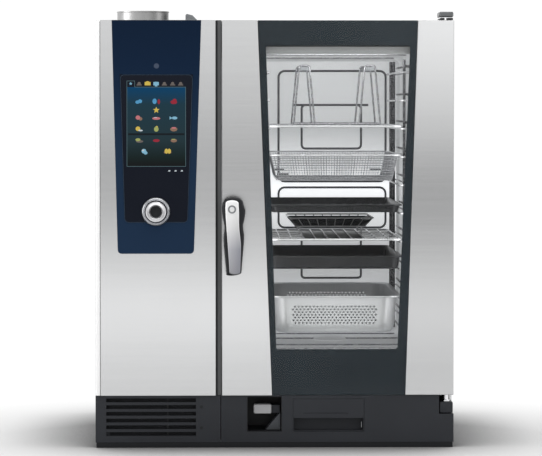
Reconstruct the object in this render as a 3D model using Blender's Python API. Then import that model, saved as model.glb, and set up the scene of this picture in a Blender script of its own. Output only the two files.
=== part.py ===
"""Table-top combi steamer oven for ten GN 1/1 levels, as an assembly of separate pieces.

Metres. X runs across the front, -Y is the front, +Z is up. The origin is on the surface that the
oven stands on, under the middle of its outline.
"""

import math

import bmesh
import bpy
from mathutils import Matrix, Vector

# Outer sizes
HALF_WIDTH = 0.425
TOP_Z = 1.014
FRONT_Y = -0.354  # the face of the door and of the control column
REAR_Y = 0.421
GAP = 0.0004  # between pieces that touch
FOOT_HEIGHT = 0.012
BASE_BOTTOM = 0.0126
BASE_TOP = 0.124
BASE_FRONT_Y = FRONT_Y + 0.004
BASE_RETURN_Y = -0.3005  # how far the base panels wrap round the sides
PANEL = 0.012  # thickness of the cassette side panels
SHEET = 0.004  # thickness of the flat covers

# Cooking cabinet
FRAME_FRONT_Y = -0.290
FRAME_BACK_Y = -0.284
CAVITY_X = (-0.128, 0.340)
CAVITY_Y = (FRAME_BACK_Y + GAP, 0.310)
CAVITY_Z = (0.222, 0.935)
CAVITY_WALL = 0.003
OPENING_X = (-0.048, CAVITY_X[1])  # the cooking space, right of the air baffle
INSULATION = 0.030
BAFFLE_THICKNESS = 0.003

# Levels and containers
LEVEL_ONE_Z = 0.282
LEVEL_PITCH = 0.068
LEVELS = 10
TRAY_CENTRE = (0.146, 0.003)
TRAY_HALF = (0.1625, 0.265)  # a GN 1/1 container, 325 by 530 mm
RAIL_REACH = 0.008
RAIL_THICKNESS = 0.003
RACK_BACK = 0.025  # from a container's edge to the rack's outer face

# Door
DOOR_LEFT_X = -0.1246
DOOR_BACK_Y = FRONT_Y + 0.050
SKIN_BACK_Y = FRONT_Y + 0.0085
DOOR_TOP_Z = TOP_Z - 0.0005
DOOR_BOTTOM_Z = BASE_TOP + 0.0006
GLASS_LEFT = (-0.0406, -0.0064)  # the outer glass's left edge, at the top and at the bottom
GLASS_RIGHT = (0.3388, 0.3096)
WINDOW_X = (-0.025, 0.325)
WINDOW_Z = (0.230, 0.958)
HINGE_X = 0.4075
HINGE_Y = -0.329
HINGE_PIN_RADIUS = 0.006
HINGE_BORE_RADIUS = 0.0075

# Handle
HANDLE_PIVOT = (-0.1016, 0.0, 0.5683)
HANDLE_FRONT_Y = -0.421
HANDLE_SHAFT_RADIUS = 0.007
HANDLE_BORE_RADIUS = 0.0085

# Control column
COLUMN_X = (-HALF_WIDTH + PANEL + GAP, -0.1404)
POST_X = (-0.1400, -0.1260)
FASCIA_TOP = (-0.3853, -0.1740, TOP_Z - 0.0005)  # left, right, height
FASCIA_BOTTOM = (-0.3713, -0.1916, 0.4613)
FASCIA_FRONT_Y = FRONT_Y - 0.0025
FASCIA_BACK_Y = FRONT_Y + 0.0045
SCREEN_TOP = (-0.3660, -0.1935, 0.8848)
SCREEN_BOTTOM = (-0.3552, -0.2060, 0.5349)
SCREEN_FRONT_Y = FASCIA_FRONT_Y - 0.0007
SCREEN_BACK_Y = FASCIA_FRONT_Y + 0.0015
DIAL_AXIS = (-0.2811, 0.0, 0.5608)
DIAL_TRAVEL = 0.002

# Fans
FAN_Y = 0.010
FAN_Z = (0.757, 0.400)
FAN_RADIUS = 0.120
FAN_X = (-0.116, -0.062)
FAN_BLADES = 10
FAN_SHAFT_RADIUS = 0.006
MOTOR_X = (-0.290, -0.1625)

# Base
SLOT_X = (-0.3998, -0.1870)
SLOT_TOP_Z = 0.1128
SLOT_PITCH = 0.016
SLOT_HEIGHT = 0.0093
SLOTS = 6
SHOWER_X = (-0.0660, 0.0170)
SHOWER_Z = (0.0375, 0.1218)
DRAWER_X = (0.0432, 0.2127)
DRAWER_Z = (0.0370, 0.1159)

VENT_CENTRE = (-0.325, 0.150)
VENT_RADIUS = 0.067
VENT_TOP_Z = 1.050

ROUND = 24  # segments of a middle-sized circle

FINISHES = {
    "brushed_steel": ((0.62, 0.63, 0.64), 0.32, 1.0),
    "dark_steel": ((0.30, 0.31, 0.32), 0.45, 1.0),
    "chrome": ((0.80, 0.80, 0.82), 0.08, 1.0),
    "charcoal": ((0.045, 0.047, 0.052), 0.55, 0.0),
    "black": ((0.012, 0.012, 0.014), 0.5, 0.0),
    "navy": ((0.012, 0.026, 0.060), 0.35, 0.0),
    "glass": ((0.55, 0.62, 0.66), 0.03, 0.0),
    "black_glass": ((0.008, 0.010, 0.016), 0.05, 0.0),
    "light_grey": ((0.60, 0.61, 0.62), 0.45, 0.0),
    "enamel": ((0.035, 0.037, 0.042), 0.35, 0.0),
    "silicone": ((0.020, 0.020, 0.022), 0.7, 0.0),
    "wool": ((0.55, 0.50, 0.38), 0.95, 0.0),
    "cast": ((0.25, 0.26, 0.27), 0.55, 1.0),
    "green_board": ((0.20, 0.22, 0.24), 0.5, 0.0),
    "lamp": ((0.90, 0.90, 0.86), 0.3, 0.0),
}

ACROSS = {"X": (1, 2, 0), "Y": (0, 2, 1), "Z": (0, 1, 2)}


# ---------------------------------------------------------------- building tools

def clear_scene():
    """Remove whatever the open file holds."""
    for obj in list(bpy.data.objects):
        bpy.data.objects.remove(obj, do_unlink=True)


def finish_material(name, finish):
    """A material of the part's own, in one of the listed finishes."""
    colour, roughness, metallic = FINISHES[finish]
    material = bpy.data.materials.new(name)
    material.use_nodes = True
    shader = material.node_tree.nodes["Principled BSDF"]
    shader.inputs["Base Color"].default_value = (*colour, 1.0)
    shader.inputs["Roughness"].default_value = roughness
    shader.inputs["Metallic"].default_value = metallic
    return material


def add_part(name, bm, finish, pivot=(0.0, 0.0, 0.0), smooth=False):
    """Turn a bmesh in world coordinates into an object whose origin is the pivot."""
    bmesh.ops.recalc_face_normals(bm, faces=bm.faces)
    bm.transform(Matrix.Translation(-Vector(pivot)))
    mesh = bpy.data.meshes.new(name)
    bm.to_mesh(mesh)
    bm.free()
    if smooth:
        mesh.shade_smooth()
        mesh.set_sharp_from_angle(angle=math.radians(35))
    mesh.materials.append(finish_material(name + "_finish", finish))
    obj = bpy.data.objects.new(name, mesh)
    obj.location = pivot
    bpy.context.scene.collection.objects.link(obj)
    return obj


def combine(obj, bm, operation):
    """Join a bmesh in world coordinates to a part, or cut it away, with a Boolean modifier."""
    bmesh.ops.recalc_face_normals(bm, faces=bm.faces)
    index = len(obj.modifiers)
    mesh = bpy.data.meshes.new(f"{obj.name}_tool_{index}")
    bm.to_mesh(mesh)
    bm.free()
    tool = bpy.data.objects.new(mesh.name, mesh)
    tool.hide_render = True
    tool.display_type = "WIRE"
    bpy.context.scene.collection.objects.link(tool)
    modifier = obj.modifiers.new(f"{operation.lower()}_{index}", "BOOLEAN")
    modifier.operation = operation
    modifier.solver = "EXACT"
    modifier.object = tool


def bevel(obj, width, segments=2):
    """Round the sharp edges of a part."""
    modifier = obj.modifiers.new("edge_rounding", "BEVEL")
    modifier.width = width
    modifier.segments = segments
    modifier.limit_method = "ANGLE"
    modifier.angle_limit = math.radians(50)


def round_edges(bm, width, inner_corner):
    """Round the edges of a bmesh, except those that end at the inner corner, given in Y and Z."""
    def is_inner(vert):
        return (Vector(vert.co.yz) - Vector(inner_corner)).length < GAP / 2

    edges = [edge for edge in bm.edges if not any(is_inner(vert) for vert in edge.verts)]
    bmesh.ops.bevel(bm, geom=edges, offset=width, segments=2, profile=0.5, affect="EDGES")


def place(axis, u, v, along):
    """A point from two coordinates across an axis and one along it."""
    point = [0.0, 0.0, 0.0]
    for index, value in zip(ACROSS[axis], (u, v, along)):
        point[index] = value
    return point


def skin(loops, closed=False):
    """A closed surface through loops of equally many points. Open stacks get end caps."""
    bm = bmesh.new()
    rings = [[bm.verts.new(point) for point in loop] for loop in loops]
    pairs = list(zip(rings, rings[1:]))
    if closed:
        pairs.append((rings[-1], rings[0]))
    else:
        bm.faces.new(rings[0])
        bm.faces.new(rings[-1])
    for lower, upper in pairs:
        for i, corner in enumerate(lower):
            j = (i + 1) % len(lower)
            bm.faces.new((corner, lower[j], upper[j], upper[i]))
    return bm


def turned(axis, centre, profile, count=ROUND, closed=False):
    """A turned shape: the profile lists radius and absolute place along the axis."""
    u0, v0 = (centre[index] for index in ACROSS[axis][:2])
    loops = []
    for radius, along in profile:
        loop = []
        for index in range(count):
            angle = math.tau * index / count
            loop.append(place(axis, u0 + radius * math.cos(angle), v0 + radius * math.sin(angle), along))
        loops.append(loop)
    return skin(loops, closed)


def cylinder(axis, centre, radius, start, end, count=ROUND):
    """A plain round bar."""
    return turned(axis, centre, [(radius, start), (radius, end)], count)


def tube(axis, centre, inner, outer, start, end, count=ROUND):
    """A round bar with a bore right through."""
    profile = [(inner, start), (outer, start), (outer, end), (inner, end)]
    return turned(axis, centre, profile, count, closed=True)


def prism(axis, outline, start, end):
    """An outline, given across the axis, extruded along it."""
    return skin([[place(axis, u, v, along) for u, v in outline] for along in (start, end)])


def cells(xs, ys, zs, is_solid):
    """One body from the solid cells of a grid whose lines stand at xs, ys and zs."""
    bm = bmesh.new()
    lines = (xs, ys, zs)
    counts = [len(line) - 1 for line in lines]
    corners = {}

    def corner(index):
        if index not in corners:
            corners[index] = bm.verts.new([line[i] for line, i in zip(lines, index)])
        return corners[index]

    def solid(index):
        inside = all(0 <= i < count for i, count in zip(index, counts))
        return inside and is_solid(*index)

    for i in range(counts[0]):
        for j in range(counts[1]):
            for k in range(counts[2]):
                if not solid((i, j, k)):
                    continue
                for axis in range(3):
                    for side in (0, 1):
                        beside = [i, j, k]
                        beside[axis] += 2 * side - 1
                        if solid(tuple(beside)):
                            continue
                        first, second = [n for n in range(3) if n != axis]
                        face = []
                        for du, dv in ((0, 0), (1, 0), (1, 1), (0, 1)):
                            index = [i, j, k]
                            index[axis] += side
                            index[first] += du
                            index[second] += dv
                            face.append(corner(tuple(index)))
                        bm.faces.new(face)
    return bm


def box(lo, hi):
    """A rectangular block."""
    return cells((lo[0], hi[0]), (lo[1], hi[1]), (lo[2], hi[2]), lambda i, j, k: True)


def frame_ring(outer, inner, ys):
    """A rectangular ring facing the front: outer and inner are (x0, x1, z0, z1)."""
    xs = (outer[0], inner[0], inner[1], outer[1])
    zs = (outer[2], inner[2], inner[3], outer[3])
    return cells(xs, ys, zs, lambda i, j, k: not (i == 1 and k == 1))


def front_tub(xs, ys, zs, wall):
    """A box that is open at the front; the arguments give its hollow."""
    x_lines = (xs[0] - wall, xs[0], xs[1], xs[1] + wall)
    z_lines = (zs[0] - wall, zs[0], zs[1], zs[1] + wall)
    y_lines = (ys[0], ys[1], ys[1] + wall)
    return cells(x_lines, y_lines, z_lines, lambda i, j, k: not (i == 1 and j == 0 and k == 1))


def rounded_rectangle(centre, half, radius, steps=3):
    """Corner points of a rectangle with round corners, anticlockwise."""
    points = []
    for quarter, (sx, sy) in enumerate(((1, 1), (-1, 1), (-1, -1), (1, -1))):
        cx = centre[0] + sx * (half[0] - radius)
        cy = centre[1] + sy * (half[1] - radius)
        for step in range(steps + 1):
            angle = math.pi / 2 * (quarter + step / steps)
            points.append((cx + radius * math.cos(angle), cy + radius * math.sin(angle)))
    return points


def pan(centre, half, rim, z_rim, depth, taper, wall, rim_thickness):
    """An open-topped pan with a flat rim and square corners; its sides lean in by the taper."""
    body = (half[0] - rim, half[1] - rim)
    foot = (body[0] - taper, body[1] - taper)
    sections = (
        (foot, z_rim - depth),
        (body, z_rim),
        (half, z_rim),
        (half, z_rim + rim_thickness),
        ((body[0] - wall, body[1] - wall), z_rim + rim_thickness),
        ((foot[0] - wall, foot[1] - wall), z_rim - depth + wall),
    )
    corners = ((1, 1), (-1, 1), (-1, -1), (1, -1))
    loops = []
    for size, z in sections:
        loops.append([(centre[0] + sx * size[0], centre[1] + sy * size[1], z) for sx, sy in corners])
    return skin(loops)


def tapered_outline(top, bottom, radius=0.0, steps=4, spread=0.0):
    """A trapezoid in X and Z from (left, right, height) at top and bottom; the lower corners are round."""
    left_top, right_top, z_top = top
    left, right, z_bottom = bottom
    left_top, left = left_top - spread, left - spread
    right_top, right = right_top + spread, right + spread
    z_bottom -= spread
    points = [(right_top, z_top), (left_top, z_top)]
    for side, edge, edge_top in ((0, left, left_top), (1, right, right_top)):
        if radius == 0.0:
            points.append((edge, z_bottom))
            continue
        lean = (edge_top - edge) / (z_top - z_bottom)
        inward = radius if side == 0 else -radius
        for step in range(steps + 1):
            turn = step / steps if side == 0 else 1 - step / steps
            angle = math.pi / 2 * turn
            x = edge + inward * (1 - math.cos(angle))
            z = z_bottom + radius * (1 - math.sin(angle))
            points.append((x + lean * (z - z_bottom), z))
    return points


def level_z(number):
    """Height of the top of a rack's rail; the lowest is number one."""
    return LEVEL_ONE_Z + LEVEL_PITCH * (number - 1)


# ---------------------------------------------------------------- cabinet

def build_feet():
    """Four rubber feet, each with a flat face to stand on."""
    for depth, y in (("front", -0.290), ("rear", 0.370)):
        for side, x in (("left", -0.370), ("right", 0.370)):
            profile = [(0.024, 0.0), (0.026, 0.003), (0.022, FOOT_HEIGHT)]
            foot = turned("Z", (x, y, 0.0), profile)
            add_part(f"foot_{depth}_{side}", foot, "silicone", smooth=True)


def build_base_plate():
    inside = HALF_WIDTH - PANEL - GAP
    lo = (-inside, BASE_FRONT_Y + 0.0085, FOOT_HEIGHT + GAP)
    hi = (inside, REAR_Y - SHEET - GAP, FOOT_HEIGHT + GAP + 0.005)
    add_part("base_plate", box(lo, hi), "dark_steel")


def build_side_panels():
    """Both panels stop behind the base's wrap-round corners; the right one also stops behind the door."""
    inner_corner = (BASE_RETURN_Y + GAP, BASE_TOP + GAP)
    front_y = FRONT_Y + 0.0005
    left = [
        (front_y, inner_corner[1]),
        inner_corner,
        (inner_corner[0], BASE_BOTTOM),
        (REAR_Y, BASE_BOTTOM),
        (REAR_Y, TOP_Z),
        (front_y, TOP_Z),
    ]
    behind_door = (FRAME_FRONT_Y, inner_corner[1])
    right = [
        behind_door,
        inner_corner,
        (inner_corner[0], BASE_BOTTOM),
        (REAR_Y, BASE_BOTTOM),
        (REAR_Y, TOP_Z),
        (FRAME_FRONT_Y, TOP_Z),
    ]
    sides = (("side_panel_left", -1, left, inner_corner), ("side_panel_right", 1, right, behind_door))
    for name, side, outline, corner in sides:
        panel = prism("X", outline, side * HALF_WIDTH, side * (HALF_WIDTH - PANEL))
        bmesh.ops.recalc_face_normals(panel, faces=panel.faces)
        round_edges(panel, 0.004, corner)
        add_part(name, panel, "brushed_steel")


def build_covers():
    inside = HALF_WIDTH - PANEL - GAP
    rear_lo = (-inside, REAR_Y - SHEET, BASE_BOTTOM)
    rear_hi = (inside, REAR_Y, TOP_Z - 0.0004)
    add_part("rear_panel", box(rear_lo, rear_hi), "brushed_steel")
    top_lo = (-inside, FRAME_FRONT_Y, TOP_Z - SHEET)
    top_hi = (inside, REAR_Y - SHEET - GAP, TOP_Z)
    cover = add_part("top_cover", box(top_lo, top_hi), "brushed_steel")
    hole = cylinder("Z", (*VENT_CENTRE, 0.0), VENT_RADIUS + GAP, TOP_Z - 0.01, TOP_Z + 0.01, 32)
    combine(cover, hole, "DIFFERENCE")


def build_vents():
    pipe = tube("Z", (*VENT_CENTRE, 0.0), VENT_RADIUS - 0.0025, VENT_RADIUS, 0.972, VENT_TOP_Z, 32)
    add_part("vent_pipe", pipe, "brushed_steel", smooth=True)
    profile = [
        (0.012, TOP_Z + GAP),
        (0.012, TOP_Z + 0.008),
        (0.014, TOP_Z + 0.009),
        (0.014, TOP_Z + 0.013),
    ]
    add_part("relief_vent", turned("Z", (-0.199, 0.150, 0.0), profile), "cast", smooth=True)


def build_control_column():
    xs = COLUMN_X
    ys = (FRONT_Y, FRONT_Y + 0.008, FRAME_FRONT_Y - GAP)
    zs = (BASE_TOP + GAP, TOP_Z - SHEET, TOP_Z)
    shell = cells(xs, ys, zs, lambda i, j, k: j == 0 or k == 1)
    cover = add_part("column_front_cover", shell, "brushed_steel")
    pocket_top = (*FASCIA_TOP[:2], TOP_Z + 0.010)
    pocket = tapered_outline(pocket_top, FASCIA_BOTTOM, 0.009, spread=GAP)
    combine(cover, prism("Y", pocket, FRONT_Y - 0.010, FASCIA_BACK_Y + GAP), "DIFFERENCE")
    combine(cover, cylinder("Y", DIAL_AXIS, 0.006, FRONT_Y - 0.010, FRONT_Y + 0.020, 16), "DIFFERENCE")
    post_lo = (POST_X[0], FRONT_Y + 0.009, BASE_TOP + GAP)
    post_hi = (POST_X[1], FRAME_FRONT_Y - GAP, TOP_Z - GAP)
    add_part("centre_post", box(post_lo, post_hi), "charcoal")


def build_front_frame():
    outer = (DOOR_LEFT_X - 0.001, HALF_WIDTH - PANEL - GAP, BASE_TOP + 0.0046, TOP_Z - SHEET - GAP)
    inner = (*OPENING_X, *CAVITY_Z)
    ring = frame_ring(outer, inner, (FRAME_FRONT_Y, FRAME_BACK_Y))
    add_part("front_frame", ring, "brushed_steel")


def build_cavity():
    shell = front_tub(CAVITY_X, CAVITY_Y, CAVITY_Z, CAVITY_WALL)
    cavity = add_part("cavity_shell", shell, "brushed_steel")
    left = CAVITY_X[0]
    for z in FAN_Z:
        hole = cylinder("X", (0.0, FAN_Y, z), 0.010, left - 0.010, left + 0.005, 16)
        combine(cavity, hole, "DIFFERENCE")
    drain = (TRAY_CENTRE[0], 0.050, 0.0)
    floor = CAVITY_Z[0]
    combine(cavity, cylinder("Z", drain, 0.025, floor - 0.010, floor + 0.001, 16), "DIFFERENCE")
    strainer = [
        (0.030, floor + GAP),
        (0.042, floor + 0.002),
        (0.040, floor + 0.005),
        (0.020, floor + 0.009),
    ]
    add_part("drain_strainer", turned("Z", drain, strainer), "brushed_steel", smooth=True)


def build_insulation():
    room = CAVITY_WALL + GAP
    xs = (CAVITY_X[0] - room, CAVITY_X[1] + room)
    zs = (CAVITY_Z[0] - room, CAVITY_Z[1] + room)
    ys = (CAVITY_Y[0], CAVITY_Y[1] + room)
    jacket = add_part("insulation_jacket", front_tub(xs, ys, zs, INSULATION), "wool")
    for z in FAN_Z:
        hole = cylinder("X", (0.0, FAN_Y, z), 0.012, xs[0] - 0.040, xs[0] + 0.002, 16)
        combine(jacket, hole, "DIFFERENCE")
    drain = (TRAY_CENTRE[0], 0.050, 0.0)
    combine(jacket, cylinder("Z", drain, 0.025, zs[0] - 0.040, zs[0] + 0.002, 16), "DIFFERENCE")


def build_baffle():
    right = OPENING_X[0] + BAFFLE_THICKNESS
    lo = (OPENING_X[0], CAVITY_Y[0] + 0.014, CAVITY_Z[0] + 0.012)
    hi = (right, CAVITY_Y[1] - 0.014, CAVITY_Z[1] - 0.012)
    baffle = add_part("air_baffle", box(lo, hi), "brushed_steel")
    for z in FAN_Z:
        hole = cylinder("X", (0.0, FAN_Y, z), 0.085, lo[0] - 0.010, right + 0.010, ROUND)
        combine(baffle, hole, "DIFFERENCE")


def build_fan(name, z):
    """A radial wheel: back disc, straight paddles and the shaft in one casting."""
    centre = (0.0, FAN_Y, z)
    x0, x1 = FAN_X
    profile = [
        (FAN_SHAFT_RADIUS, MOTOR_X[1] - 0.025),
        (FAN_SHAFT_RADIUS, x0),
        (FAN_RADIUS, x0),
        (FAN_RADIUS, x0 + 0.003),
        (0.026, x0 + 0.003),
        (0.022, x1 - 0.010),
    ]
    wheel = add_part(name, turned("X", centre, profile), "brushed_steel", pivot=centre)
    half = 0.002
    for index in range(FAN_BLADES):
        turn = Matrix.Rotation(math.tau * index / FAN_BLADES, 4, "X")
        paddle = box((x0 + 0.001, 0.015, -half), (x1, FAN_RADIUS - 0.002, half))
        paddle.transform(Matrix.Translation(centre) @ turn)
        if index == 0:
            paddles = paddle
            continue
        mesh = bpy.data.meshes.new("paddle")
        paddle.to_mesh(mesh)
        paddle.free()
        paddles.from_mesh(mesh)
        bpy.data.meshes.remove(mesh)
    combine(wheel, paddles, "UNION")


def build_motor(name, z):
    back, face = MOTOR_X
    profile = [
        (0.0075, face - 0.035),
        (0.0075, face),
        (0.056, face),
        (0.056, back + 0.006),
        (0.050, back),
    ]
    add_part(name, turned("X", (0.0, FAN_Y, z), profile), "cast", smooth=True)


def build_heater(name, z):
    """A ring heater round a fan wheel, made by spinning its tube's section."""
    section = 6
    loops = []
    count = 28
    middle_x = (FAN_X[0] + FAN_X[1]) / 2
    for index in range(count):
        around = math.tau * index / count
        loop = []
        for step in range(section):
            angle = math.tau * step / section
            radius = 0.150 + 0.005 * math.cos(angle)
            y = FAN_Y + radius * math.cos(around)
            loop.append((middle_x + 0.005 * math.sin(angle), y, z + radius * math.sin(around)))
        loops.append(loop)
    add_part(name, skin(loops, closed=True), "dark_steel", smooth=True)


def build_machinery():
    for position, z in zip(("upper", "lower"), FAN_Z):
        build_fan(f"fan_{position}", z)
        build_motor(f"fan_motor_{position}", z)
        build_heater(f"ring_heater_{position}", z)
    tank = [(0.070, 0.040), (0.085, 0.055), (0.085, 0.330), (0.060, 0.355)]
    add_part("steam_generator", turned("Z", (-0.300, 0.260, 0.0), tank), "brushed_steel", smooth=True)
    lo = (-0.385, -0.340, 0.610)
    hi = (-0.185, -0.296, 0.920)
    add_part("control_electronics", box(lo, hi), "green_board")


def build_gasket():
    left, right = OPENING_X[0] - 0.004, OPENING_X[1] + 0.004
    low, high = CAVITY_Z[0] - 0.004, CAVITY_Z[1] + 0.004
    width = 0.022
    outer = (left - width, right + width, low - width, high + width)
    ring = frame_ring(outer, (left, right, low, high), (DOOR_BACK_Y + GAP, FRAME_FRONT_Y - GAP))
    add_part("door_gasket", ring, "silicone")


# ---------------------------------------------------------------- racks and what they carry

def build_racks():
    """Two uprights and ten rails on each side; each rail reaches under a container's rim."""
    for name, side in (("rack_left", -1), ("rack_right", 1)):
        edge = TRAY_CENTRE[0] + side * TRAY_HALF[0]
        outer = edge + side * RACK_BACK
        middle = edge + side * 0.002
        inner = edge - side * RAIL_REACH
        xs = sorted((outer, middle, inner))
        rail_cell = 0 if side > 0 else 1
        y0, y1 = TRAY_CENTRE[1] - TRAY_HALF[1], TRAY_CENTRE[1] + TRAY_HALF[1]
        ys = (y0 - 0.004, y0 + 0.060, y0 + 0.072, y1 - 0.072, y1 - 0.060, y1 + 0.004)
        zs = [CAVITY_Z[0] + 0.020]
        for number in range(1, LEVELS + 1):
            zs += [level_z(number) - RAIL_THICKNESS, level_z(number)]
        zs.append(CAVITY_Z[1] - 0.012)

        def is_solid(i, j, k, rail_cell=rail_cell):
            is_rail = k % 2 == 1
            if i == rail_cell:
                return is_rail
            return is_rail or j in (1, 3)

        add_part(name, cells(xs, ys, zs, is_solid), "brushed_steel")


def build_wire_shelf(name, number):
    """A wire shelf as a frame with long bars."""
    x0, x1 = TRAY_CENTRE[0] - TRAY_HALF[0], TRAY_CENTRE[0] + TRAY_HALF[0]
    y0, y1 = TRAY_CENTRE[1] - TRAY_HALF[1], TRAY_CENTRE[1] + TRAY_HALF[1]
    bar = 0.006
    bays = 6
    pitch = (x1 - x0 - bar) / bays
    xs = []
    for bay in range(bays + 1):
        xs += [x0 + bay * pitch, x0 + bay * pitch + bar]
    ys = (y0, y0 + bar, y1 - bar, y1)
    bottom = level_z(number) + GAP
    shelf = cells(xs, ys, (bottom, bottom + bar), lambda i, j, k: i % 2 == 0 or j != 1)
    add_part(name, shelf, "chrome")


def build_poultry_stand():
    """A base frame with four tapered loops that stand up from it."""
    bottom = level_z(8) + 2 * GAP + 0.006
    bar = 0.004
    half_x, half_y = 0.080, 0.110
    cx, cy = TRAY_CENTRE[0] + 0.010, TRAY_CENTRE[1] - 0.040
    outer = (cx - half_x - bar, cx + half_x + bar)
    inner = (cx - half_x, cx + half_x)
    xs = (outer[0], inner[0], inner[1], outer[1])
    ys = (cy - half_y - bar, cy - half_y, cy + half_y, cy + half_y + bar)
    base = cells(xs, ys, (bottom, bottom + bar), lambda i, j, k: not (i == 1 and j == 1))
    stand = add_part("poultry_stand", base, "chrome")
    height, foot, crown, wire = 0.146, 0.028, 0.012, 0.004
    for x in inner:
        for y in (cy - half_y - bar / 2, cy + half_y + bar / 2):
            loop = [
                (x - foot, bottom + 0.001),
                (x - foot + wire, bottom + 0.001),
                (x - crown + wire, bottom + height - wire),
                (x + crown - wire, bottom + height - wire),
                (x + foot - wire, bottom + 0.001),
                (x + foot, bottom + 0.001),
                (x + crown, bottom + height),
                (x - crown, bottom + height),
            ]
            combine(stand, prism("Y", loop, y - 0.0015, y + 0.0015), "UNION")


def build_containers():
    basket = pan(TRAY_CENTRE, TRAY_HALF, 0.012, level_z(7) + GAP, 0.062, 0.016, 0.003, 0.004)
    add_part("fry_basket", basket, "chrome")
    for name, number, depth in (("tray_upper", 5, 0.018), ("tray_lower", 3, 0.030)):
        rim_z = level_z(number) + GAP + depth
        tray = pan(TRAY_CENTRE, TRAY_HALF, 0.005, rim_z, depth, 0.002, 0.002, 0.0015)
        add_part(name, tray, "enamel")
    container = pan(TRAY_CENTRE, TRAY_HALF, 0.012, level_z(2) + GAP, 0.086, 0.006, 0.0015, 0.0035)
    add_part("perforated_container", container, "brushed_steel")
    form_z = level_z(4) + 2 * GAP + 0.006
    centre = (TRAY_CENTRE[0], TRAY_CENTRE[1] + 0.100)
    form = pan(centre, (0.108, 0.130), 0.003, form_z + 0.038, 0.038, 0.016, 0.003, 0.003)
    add_part("wire_form", form, "chrome")


# ---------------------------------------------------------------- door

def build_door_skins():
    pivot = (HINGE_X, HINGE_Y, 0.0)
    left = [
        (DOOR_LEFT_X, DOOR_BOTTOM_Z),
        (GLASS_LEFT[1] - GAP, DOOR_BOTTOM_Z),
        (GLASS_LEFT[0] - GAP, DOOR_TOP_Z),
        (DOOR_LEFT_X, DOOR_TOP_Z),
    ]
    right = [
        (GLASS_RIGHT[1] + GAP, DOOR_BOTTOM_Z),
        (HALF_WIDTH, DOOR_BOTTOM_Z),
        (HALF_WIDTH, DOOR_TOP_Z),
        (GLASS_RIGHT[0] + GAP, DOOR_TOP_Z),
    ]
    left_sheet = prism("Y", left, FRONT_Y, SKIN_BACK_Y)
    right_sheet = prism("Y", right, FRONT_Y, SKIN_BACK_Y)
    skin_left = add_part("door_skin_left", left_sheet, "brushed_steel", pivot)
    skin_right = add_part("door_skin_right", right_sheet, "brushed_steel", pivot)
    bore = cylinder("Y", HANDLE_PIVOT, HANDLE_BORE_RADIUS, FRONT_Y - 0.010, SKIN_BACK_Y + 0.010, 16)
    combine(skin_left, bore, "DIFFERENCE")
    bevel(skin_right, 0.0015)


def build_door_glass():
    pivot = (HINGE_X, HINGE_Y, 0.0)
    top = (GLASS_LEFT[0], GLASS_RIGHT[0], DOOR_TOP_Z)
    bottom = (GLASS_LEFT[1], GLASS_RIGHT[1], DOOR_BOTTOM_Z)
    outline = tapered_outline(top, bottom)
    add_part("door_glass_outer", prism("Y", outline, FRONT_Y + 0.0005, FRONT_Y + 0.0065), "glass", pivot)
    lo = (WINDOW_X[0] + GAP, DOOR_BACK_Y - 0.009, WINDOW_Z[0] + GAP)
    hi = (WINDOW_X[1] - GAP, DOOR_BACK_Y - 0.004, WINDOW_Z[1] - GAP)
    add_part("door_glass_inner", box(lo, hi), "glass", pivot)


def build_door_frame():
    pivot = (HINGE_X, HINGE_Y, 0.0)
    outer = (DOOR_LEFT_X + 0.002, HALF_WIDTH - 0.0025, BASE_TOP + 0.003, TOP_Z - 0.003)
    ring = frame_ring(outer, (*WINDOW_X, *WINDOW_Z), (SKIN_BACK_Y + GAP, DOOR_BACK_Y))
    frame = add_part("door_frame", ring, "dark_steel", pivot)
    axis = (HINGE_X, HINGE_Y, 0.0)
    for start, end in ((BASE_TOP - 0.010, 0.150), (0.988, TOP_Z + 0.010)):
        combine(frame, cylinder("Z", axis, HINGE_BORE_RADIUS, start, end, 16), "DIFFERENCE")
    bore = cylinder("Y", HANDLE_PIVOT, HANDLE_BORE_RADIUS, SKIN_BACK_Y - 0.010, DOOR_BACK_Y + 0.010, 16)
    combine(frame, bore, "DIFFERENCE")
    lamp_lo = (WINDOW_X[0] + GAP, SKIN_BACK_Y + 0.004, 0.300)
    lamp_hi = (WINDOW_X[0] + 0.006, DOOR_BACK_Y - 0.0095, 0.900)
    add_part("door_lamp", box(lamp_lo, lamp_hi), "lamp", pivot)
    xs = (-0.020, -0.018, 0.310, 0.312)
    ys = (DOOR_BACK_Y + GAP, DOOR_BACK_Y + 0.002, DOOR_BACK_Y + 0.009, DOOR_BACK_Y + 0.011)
    zs = (0.150, 0.152, 0.176)
    trough = cells(xs, ys, zs, lambda i, j, k: k == 0 or i != 1 or j != 1)
    add_part("door_drip_tray", trough, "brushed_steel", pivot)


def build_hinges():
    """Each bracket holds a pin that reaches into a bore of the door's frame."""
    axis = (HINGE_X, HINGE_Y, 0.0)
    top_lo = (0.3908, HINGE_Y - 0.017, TOP_Z + GAP)
    top_hi = (0.4240, FRAME_FRONT_Y + 0.030, TOP_Z + 0.020)
    top = add_part("hinge_bracket_top", box(top_lo, top_hi), "cast")
    combine(top, cylinder("Z", axis, HINGE_PIN_RADIUS, 0.996, TOP_Z + 0.010, 16), "UNION")
    low_lo = (0.3925, HINGE_Y - 0.020, 0.0815)
    low_hi = (0.4235, BASE_RETURN_Y - GAP, 0.1190)
    low = add_part("hinge_bracket_bottom", box(low_lo, low_hi), "cast")
    combine(low, cylinder("Z", axis, HINGE_PIN_RADIUS, 0.100, 0.144, 16), "UNION")


# ---------------------------------------------------------------- handle

def leaf_outline(top_centre, top_radius, low_centre, low_radius, steps=8):
    """Two half circles joined by straight flanks, in X and Z."""
    points = []
    for start, centre, radius in ((0.0, top_centre, top_radius), (math.pi, low_centre, low_radius)):
        for index in range(steps + 1):
            angle = start + math.pi * index / steps
            points.append((centre[0] + radius * math.cos(angle), centre[1] + radius * math.sin(angle)))
    return points


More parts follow.
